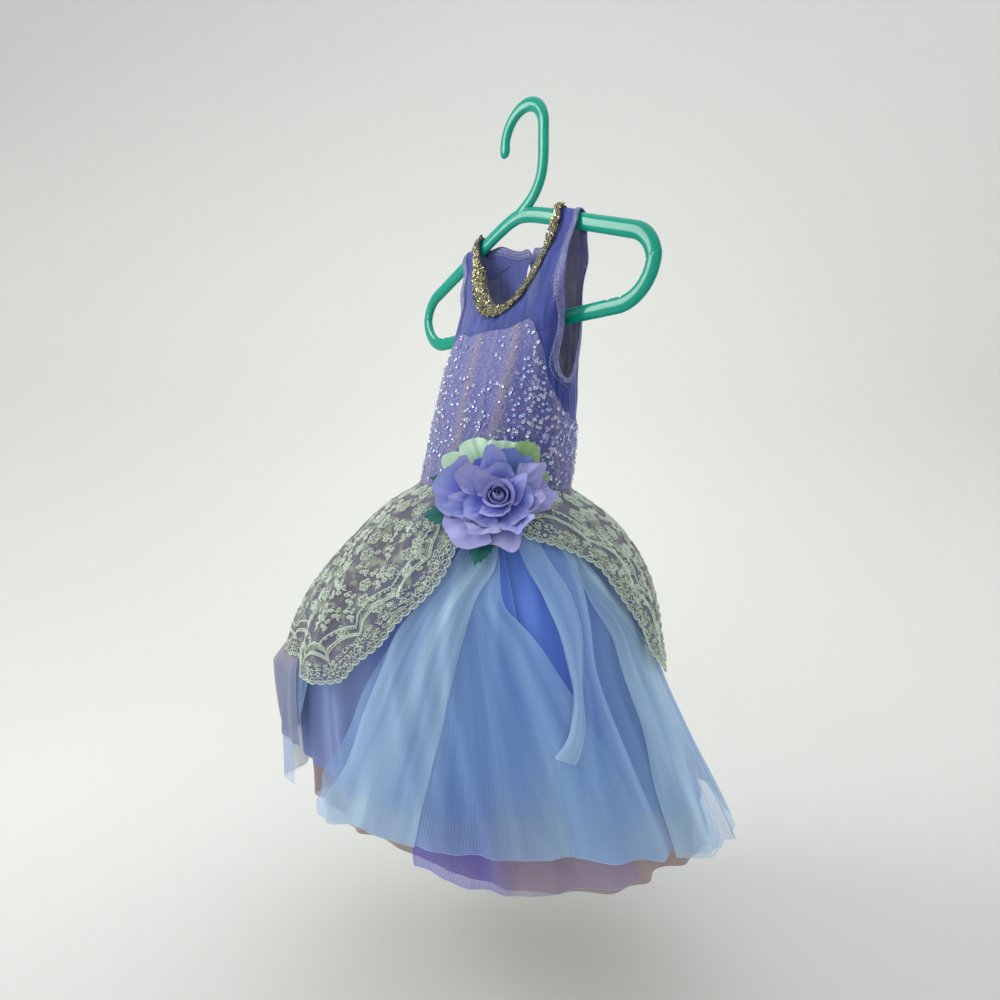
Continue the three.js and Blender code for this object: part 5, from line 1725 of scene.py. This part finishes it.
def petal(name, turn, half, near, far, blunt, lift, lean, cup, finish, slot, tint, *nodes,
          curl=0.0, ruffle=1.0, roll=0.0, notch=0.0, sharp=0.0, fold=0.0, point=0.0):
    way = np.linspace(0, 1, PETAL_ROWS + 1)[:, None]
    side = np.linspace(-1, 1, PETAL_COLUMNS + 1)[None, :]
    seed = sum(map(ord, name))
    waver = (np.sin(side * 3.1 + seed) * 0.5 + np.sin(side * 6.3 + seed * 1.7) * 0.3
             + np.sin(side * 13.7 + seed) * 0.16)
    rim_line = far * (1 - blunt * abs(side) ** (2.4 - sharp)) + ruffle * waver * 1.5
    tip_at = (side - 0.25 * math.sin(seed)) / 0.22
    radius = mix(near, rim_line, way) + point * far * way**2 * np.exp(-tip_at**2)
    radius = radius - notch * far * 0.06 * np.mod(abs(side) * 6 + 0.2, 1.0) * way**2
    spread = side * mix(0.6, 1, way)
    slow = (np.sin(side * 5.2 + seed) + np.cos(side * 2.3 + seed * 2.2) * 0.6
            + np.sin(side * 11 + seed * 3 + way * 4) * 0.35)
    fine = np.sin(side * 17 + seed + way * 7) * np.sin(way * 6 + seed)
    rolled_rim = smooth((way - 0.68) / 0.32) ** 1.5 * (0.6 + 0.4 * np.sin(side * 2.6 + seed))
    height = (lift + lean * spread + cup * (np.maximum(radius - 9, 0) / 30) ** 2
              + ruffle * (way**2 * slow + 0.3 * way * fine) + curl * way**3 * side**2
              - roll * rolled_rim + fold * way * np.cos(side * math.pi * 3) * 0.5)
    # Painted shade: the colour is darkest at the root, deep in the flower, and paler towards the
    # rim and the side edges.
    root, body, rim = tint
    pale = (smooth((way - 0.55) / 0.45) * (0.75 + 0.25 * side**2) + 0.2 * waver * way
            + 0.35 * smooth((abs(side) - 0.82) / 0.18) * way)
    colour = mix(mix(root, body, smooth(way * 1.7)[..., None]), rim, clamp01(pale)[..., None])
    sheet(name, on_flower(radius, turn + half * spread, height + 0.5), finish, slot, *nodes,
          held="laid", rests_on=["flower_pad"], colour=clamp01(colour), every=6)


for node, turn, half, near, far, blunt, tint, fold in [
        ("green_1", 32, 15, 9, 45, 0.30, OLIVE, 0.8), ("green_2", 61, 15, 9, 54, 0.20, OLIVE, 1.2),
        ("green_3", 86, 20, 9, 48, 0.05, MINT, 2.4), ("green_4", 119, 18, 9, 57, 0.22, MINT, 1.0),
        ("green_5", 142, 15, 9, 60, 0.26, MINT, 0.6)]:
    petal(f"ribbon_{node}", turn, half, near, far, blunt, 0, 1.5, 0, MINT_RIBBON, "green_ribbon",
          tint, node, ruffle=0.9, fold=fold)
for node, turn, half, far, blunt in [("leaf_1", 163, 21, 62, 0.45), ("leaf_2", 195, 23, 64, 0.45),
                                     ("leaf_3", 255, 22, 60, 0.5)]:
    petal(f"silk_{node}", turn, half, 9, far, blunt, 0.7, 1.1, 0, TEAL_LEAF, "leaf_fabric", TEAL,
          node, ruffle=0.5, notch=1.0, sharp=1.0, fold=0.5)
for node, turn, half, far, blunt, tint, curl, roll, point in [
        ("rose_outer_1", 8, 33, 43, 0.35, PALE_SILK, 2.6, 2.0, 0.10),
        ("rose_outer_2", 62, 36, 40, 0.25, TEAL_SILK, 1.0, 1.5, 0.06),
        ("rose_outer_3", 116, 38, 35, 0.10, DARK_SILK, 1.0, 1.0, 0.0),
        ("rose_outer_4", 168, 38, 52, 0.20, SILK, 1.6, 2.4, 0.04),
        ("rose_outer_5", 227, 40, 50, 0.15, PALE_SILK, 2.4, 2.6, 0.06),
        ("rose_outer_6", 280, 38, 43, 0.30, PALE_SILK, 2.6, 2.0, 0.16)]:
    petal(f"silk_{node}", turn, half, 6, far, blunt, 3.1, 1.05, 5, ROSE_SILK, "rose_silk", tint,
          node, curl=curl, ruffle=1.9, roll=roll, point=point)
for node, turn, half, far, blunt in [("rose_middle_1", 335, 55, 29, 0.2),
                                     ("rose_middle_2", 85, 60, 25, 0.15),
                                     ("rose_middle_3", 215, 60, 29, 0.15)]:
    petal(f"silk_{node}", turn, half, 5, far, blunt, 5.9, 1.7, 26, ROSE_SILK, "rose_silk", SILK,
          node, curl=-1.0, ruffle=2.2, roll=4.5, point=0.08)
for number, (turn, half, near, far, lift, cup, roll) in enumerate([
        (28, 30, 6, 37, 5.0, 15, 2.6), (98, 32, 6, 33, 5.2, 16, 2.2),
        (150, 28, 6, 36, 5.0, 12, 2.0), (200, 30, 6, 40, 5.0, 12, 2.6),
        (250, 30, 6, 38, 5.0, 14, 2.4), (306, 32, 6, 36, 5.4, 16, 2.6),
        (352, 26, 6, 34, 5.6, 18, 2.0), (20, 52, 4, 21, 8.6, 70, 3.0),
        (140, 50, 4, 20, 8.8, 80, 3.0), (262, 54, 4, 21, 8.6, 74, 3.0)]):
    petal(f"silk_inner_{number}", turn, half, near, far, 0.22, lift, 1.2, cup, ROSE_SILK,
          "rose_silk", SILK if number % 2 else PALE_SILK, curl=1.4, ruffle=2.0, roll=roll,
          point=0.12)

# %% [markdown]
# The bud is one petal rolled round itself, with its rim folded a little outward, inside six
# short cupped petals.

# %% Bud
def rolled(name, foot_radius, top_radius, foot, top, start, turns, wind, tint, lip=1.0, tip=0.0):
    way = np.linspace(0, 1, 17)[:, None]
    around = np.linspace(0, 1, 97)[None, :]
    turned = around * turns
    radius = (mix(foot_radius, top_radius, way**2) - wind * around
              + lip * smooth((way - 0.8) / 0.2) + 0.9 * way * np.sin(turned * 9.5 + start))
    sag = 0 if tip else 3.4 * way * np.sin(np.pi * turned * 1.3 + start) ** 2
    height = mix(foot, top - tip * abs(2 * around - 1) ** 2.4, way) - sag
    # Painted shade: the bud is darkest at its foot, deep in the flower, and pale at its rim.
    root, body, rim = tint
    colour = mix(mix(root, body, smooth(way * 1.2)[..., None]), rim,
                 smooth((way - 0.7) / 0.3)[..., None])
    sheet(name, on_flower(np.maximum(radius, 0.15), start + 360 * turned, height), ROSE_SILK,
          "rose_silk", "rose_bud", held="folded", rests_on=["flower_pad"], colour=colour, every=4)


rolled("silk_bud", 6.2, 3.0, 8.5, 24.5, 200, 2.3, 2.9, BUD_SILK, lip=0.5)
for number, (foot_radius, top_radius, top, start, turns, lip) in enumerate([
        (6.6, 4.6, 23.5, 20, 0.40, 1.2), (7.2, 5.4, 22.8, 150, 0.42, 1.6),
        (7.8, 6.4, 22.0, 265, 0.42, 1.8), (8.6, 8.2, 21.0, 60, 0.40, 2.4),
        (9.2, 9.4, 20.0, 190, 0.42, 2.8), (9.8, 10.4, 19.0, 310, 0.40, 3.0)]):
    rolled(f"silk_bud_wrap_{number}", foot_radius, top_radius, 7.5, top, start, turns, -0.8,
           BUD_SILK if number % 2 else PALE_SILK, lip=lip, tip=6.5)

# %% [markdown]
# All petals are glued to a round pad of felt, which shows only between them.

# %% Felt pad
PAD_RADIUS, PAD_UP, PAD_FRONT, PAD_DEPTH = 9.0, 7.0, -1.3, 9.0
PAD_RINGS = [(0.01, 0.0), (0.5, 0.0), (0.9, -0.1), (0.98, -0.5), (1.0, -1.2), (1.0, -PAD_DEPTH),
             (0.9, -PAD_DEPTH), (0.01, -PAD_DEPTH)]     # share of the radius, height
felt = Finish("pad_felt", Roughness=0.95, Sheen_Weight=0.4)
felt.feed("Base Color", felt.blend(felt.noise(700, detail=4.0), dye(8, 92, 86),
                                   dye(24, 122, 112)))
felt.bump(felt.noise(900, detail=4.0), 0.0004, 0.7)
turns = np.radians(np.arange(0, 360, 10))
felt_rings = []
for share, height in PAD_RINGS:
    x, y = PAD_RADIUS * share * np.cos(turns), PAD_UP + PAD_RADIUS * share * np.sin(turns)
    felt_rings.append(on_flower(np.hypot(x, y), np.degrees(np.arctan2(y, x)), PAD_FRONT + height))
pad = new_piece("felt_pad", placed(felt_rings).reshape(-1, 3),
                grid_faces(len(PAD_RINGS) - 1, len(turns), ring=True).tolist(), felt.material)
belongs(pad, "leaf_fabric", "flower_pad")
print("flower petals:", sum(o.name.startswith(("silk", "ribbon")) for o in costume))

# %% [markdown]
# ## The hanger
#
# A child's hanger is moulded in one piece from glossy tinted plastic. We sweep a flat oval
# along the loop and along the hook, join the two and cut the strap notches with Blender's
# boolean tool, as the mould maker would.

# %% Hanger line
HANGER_WIDTH = 300.0
CORNER_UPPER, CORNER_LOWER, CORNER_ENDS = 28.0, 30.0, 6  # radii, and degrees left of the upper
HOOK_RADIUS, HOOK_RISE, HOOK_SHIFT, HOOK_END = 24.3, 58.0, 3.3, 188
HOOK_WIDE, HOOK_DEEP, OVAL_SIDES = 11.0, 6.2, 24
HOOK_NOSE = [(1.0, 0.985), (2.0, 0.93), (3.0, 0.83), (4.0, 0.67), (4.8, 0.45), (5.2, 0.25)]


def arc(middle, radius, start, end, steps):
    turn = np.radians(np.linspace(start, end, steps + 1))
    return [(middle[0] + radius * math.cos(t), middle[1] + radius * math.sin(t)) for t in turn]


def hanger_loop():
    tip = (HANGER_WIDTH - TUBE_WIDE) / 2
    slope = math.degrees(math.atan(ARM_SLOPE))
    upper_x = tip - CORNER_UPPER
    upper = (upper_x, -ARM_SLOPE * upper_x - CORNER_UPPER / math.cos(math.radians(slope)))
    lower = (tip - CORNER_LOWER, CORNER_LOWER - BAR_DROP)
    half = [(x, float(arm_height(x))) for x in (0, 4, 8, 13, 18, 26, 35, 60, 90)]
    half += arc(upper, CORNER_UPPER, 90 - slope, CORNER_ENDS, 16)
    half += arc(lower, CORNER_LOWER, 0, -90, 20) + [(x, -BAR_DROP) for x in (90, 60, 30, 0)]
    return half + [(-x, z) for x, z in half[-2:0:-1]]


def hook_line():
    """The hook's middle line and its relative thickness, down to the rounded nose."""
    side = HOOK_SHIFT + HOOK_RADIUS
    stem = through([(-7, -8), (7, -1), (18, 6.5), (side - 2.2, 17), (side + 0.6, 30),
                    (side, HOOK_RISE - 4)], 28)
    bow = arc((HOOK_SHIFT, HOOK_RISE), HOOK_RADIUS, 0, HOOK_END, 44)
    onward = unit(np.subtract(bow[-1], bow[-2]))
    return ([(x, z, 1.0) for x, z in [*stem, *bow]]
            + [(*(bow[-1] + onward * ahead), size) for ahead, size in HOOK_NOSE])


def swept(name, line, wide, deep, closed, finish):
    """A flat oval swept along a line."""
    line = np.array([(*p[:2], p[2] if len(p) > 2 else 1.0) for p in line])
    xz, size = line[:, :2], line[:, 2:]
    along = unit((np.roll(xz, -1, 0) - np.roll(xz, 1, 0)) if closed else np.gradient(xz, axis=0))
    turn = np.arange(OVAL_SIDES) * 2 * np.pi / OVAL_SIDES
    across, through_y = (size * reach / 2 * np.sign(wave) * abs(wave) ** 0.9
                         for reach, wave in ((wide, np.cos(turn)), (deep, np.sin(turn))))
    points = np.stack([xz[:, :1] + along[:, 1:] * across, through_y,
                       xz[:, 1:] - along[:, :1] * across], axis=-1)
    piece = new_piece(name, placed(points).reshape(-1, 3),
                      tube_faces(len(line), OVAL_SIDES, closed), finish)
    fix_normals(piece)
    return piece


PLASTIC = Finish("teal_plastic", Roughness=0.16, Specular_IOR_Level=0.28, Subsurface_Weight=0.12,
                 Subsurface_Scale=0.004, Coat_Weight=0.05, Coat_Roughness=0.04)
PLASTIC.feed("Base Color", PLASTIC.blend(PLASTIC.noise(9, detail=2.0), dye(10, 146, 120),
                                         dye(14, 164, 146)))
PLASTIC.bump(PLASTIC.noise(240, detail=2.0), 0.00008, 0.5)
hanger = swept("hanger_moulding", hanger_loop(), TUBE_WIDE, TUBE_DEEP, True, PLASTIC.material)
hook = swept("hanger_hook", hook_line(), HOOK_WIDE, HOOK_DEEP, False, PLASTIC.material)
print("hanger loop and hook:", len(hanger.data.polygons), "and", len(hook.data.polygons), "faces")

# %% [markdown]
# Four round pegs cut the strap notches from the top of the bar. The tools are deleted after
# the cut, and only edges sharper than 50 degrees stay sharp.

# %% Moulding the hanger
NOTCHES, NOTCH_RADIUS, PEG_SIDES, PEG_REACH = (-116, -104, 104, 116), 2.2, 24, 8
turn = np.arange(PEG_SIDES) * 2 * np.pi / PEG_SIDES
cutters = []
for x in NOTCHES:
    peg = [(x + NOTCH_RADIUS * math.cos(t), y,
            TUBE_WIDE / 2 - BAR_DROP + NOTCH_RADIUS * math.sin(t))
           for y in (-PEG_REACH, PEG_REACH) for t in turn]
    cutters.append(new_piece("notch_cutter", placed(peg), tube_faces(2, PEG_SIDES),
                             PLASTIC.material))
    fix_normals(cutters[-1])
for tool in [hook] + cutters:
    cut = hanger.modifiers.new("mould", "BOOLEAN")
    cut.operation = "UNION" if tool is hook else "DIFFERENCE"
    cut.object, cut.solver = tool, "EXACT"
graph = bpy.context.evaluated_depsgraph_get()
moulded = bpy.data.meshes.new_from_object(hanger.evaluated_get(graph))
hanger.modifiers.clear()
hanger.data = moulded
for tool in [hook] + cutters:
    costume.remove(tool)
    bpy.data.objects.remove(tool)
moulded.polygons.foreach_set("use_smooth", np.ones(len(moulded.polygons), bool))
moulded.set_sharp_from_angle(angle=math.radians(50))
belongs(hanger, "hanger_plastic", "hanger")
print("hanger faces:", len(moulded.polygons))

# %% [markdown]
# ## The back fastening
#
# A small shank button and an elastic loop close the back of the neck.

# %% Button and loop
BUTTON_LEVEL, BUTTON_ACROSS, BUTTON_SIDES, ON_BAND = -41, 7, 32, 2 * CLOTH + GAP
BUTTON_RINGS = [(0.05, 2.3), (1.0, 2.25), (2.0, 2.0), (3.0, 1.5), (3.7, 0.9), (4.0, 0.45),
                (3.8, 0.1), (2.0, 0.0), (0.05, 0.0)]    # radius, height
LOOP_RADIUS, LOOP_THREAD, LOOP_LIFT, LOOP_POINTS = 5.2, 0.75, 0.7, 40


def near_button(radius, turn, out):
    level = BUTTON_LEVEL + radius * np.sin(np.radians(turn))
    return cloth(180 - angle_at(BUTTON_ACROSS + radius * np.cos(np.radians(turn)), level), level,
                 out)


around = np.arange(BUTTON_SIDES) * 360 / BUTTON_SIDES
dome = [near_button(radius, around, ON_BAND + height) for radius, height in BUTTON_RINGS]
pearl = Finish("button_pearl", Roughness=0.25, Coat_Weight=0.4, Specular_IOR_Level=0.6)
pearl.feed("Base Color", pearl.blend(pearl.noise(300), dye(96, 98, 170), dye(132, 132, 196)))
button = new_piece("button_dome", placed(dome).reshape(-1, 3),
                   tube_faces(len(BUTTON_RINGS), BUTTON_SIDES), pearl.material)
fix_normals(button)
belongs(button, "button_plastic", "closure_button")
loop = near_button(LOOP_RADIUS, np.linspace(75, 285, LOOP_POINTS), ON_BAND + LOOP_LIFT)
cords("button_loop", [(loop, np.broadcast_to([0, 1.0, 0], loop.shape))], LOOP_THREAD,
      NECK_ELASTIC, "elastic", "closure_loop", sides=10)

# %% Finish
print("pieces", len(costume), "about", sum(len(o.data.polygons) * 2 for o in costume), "triangles")
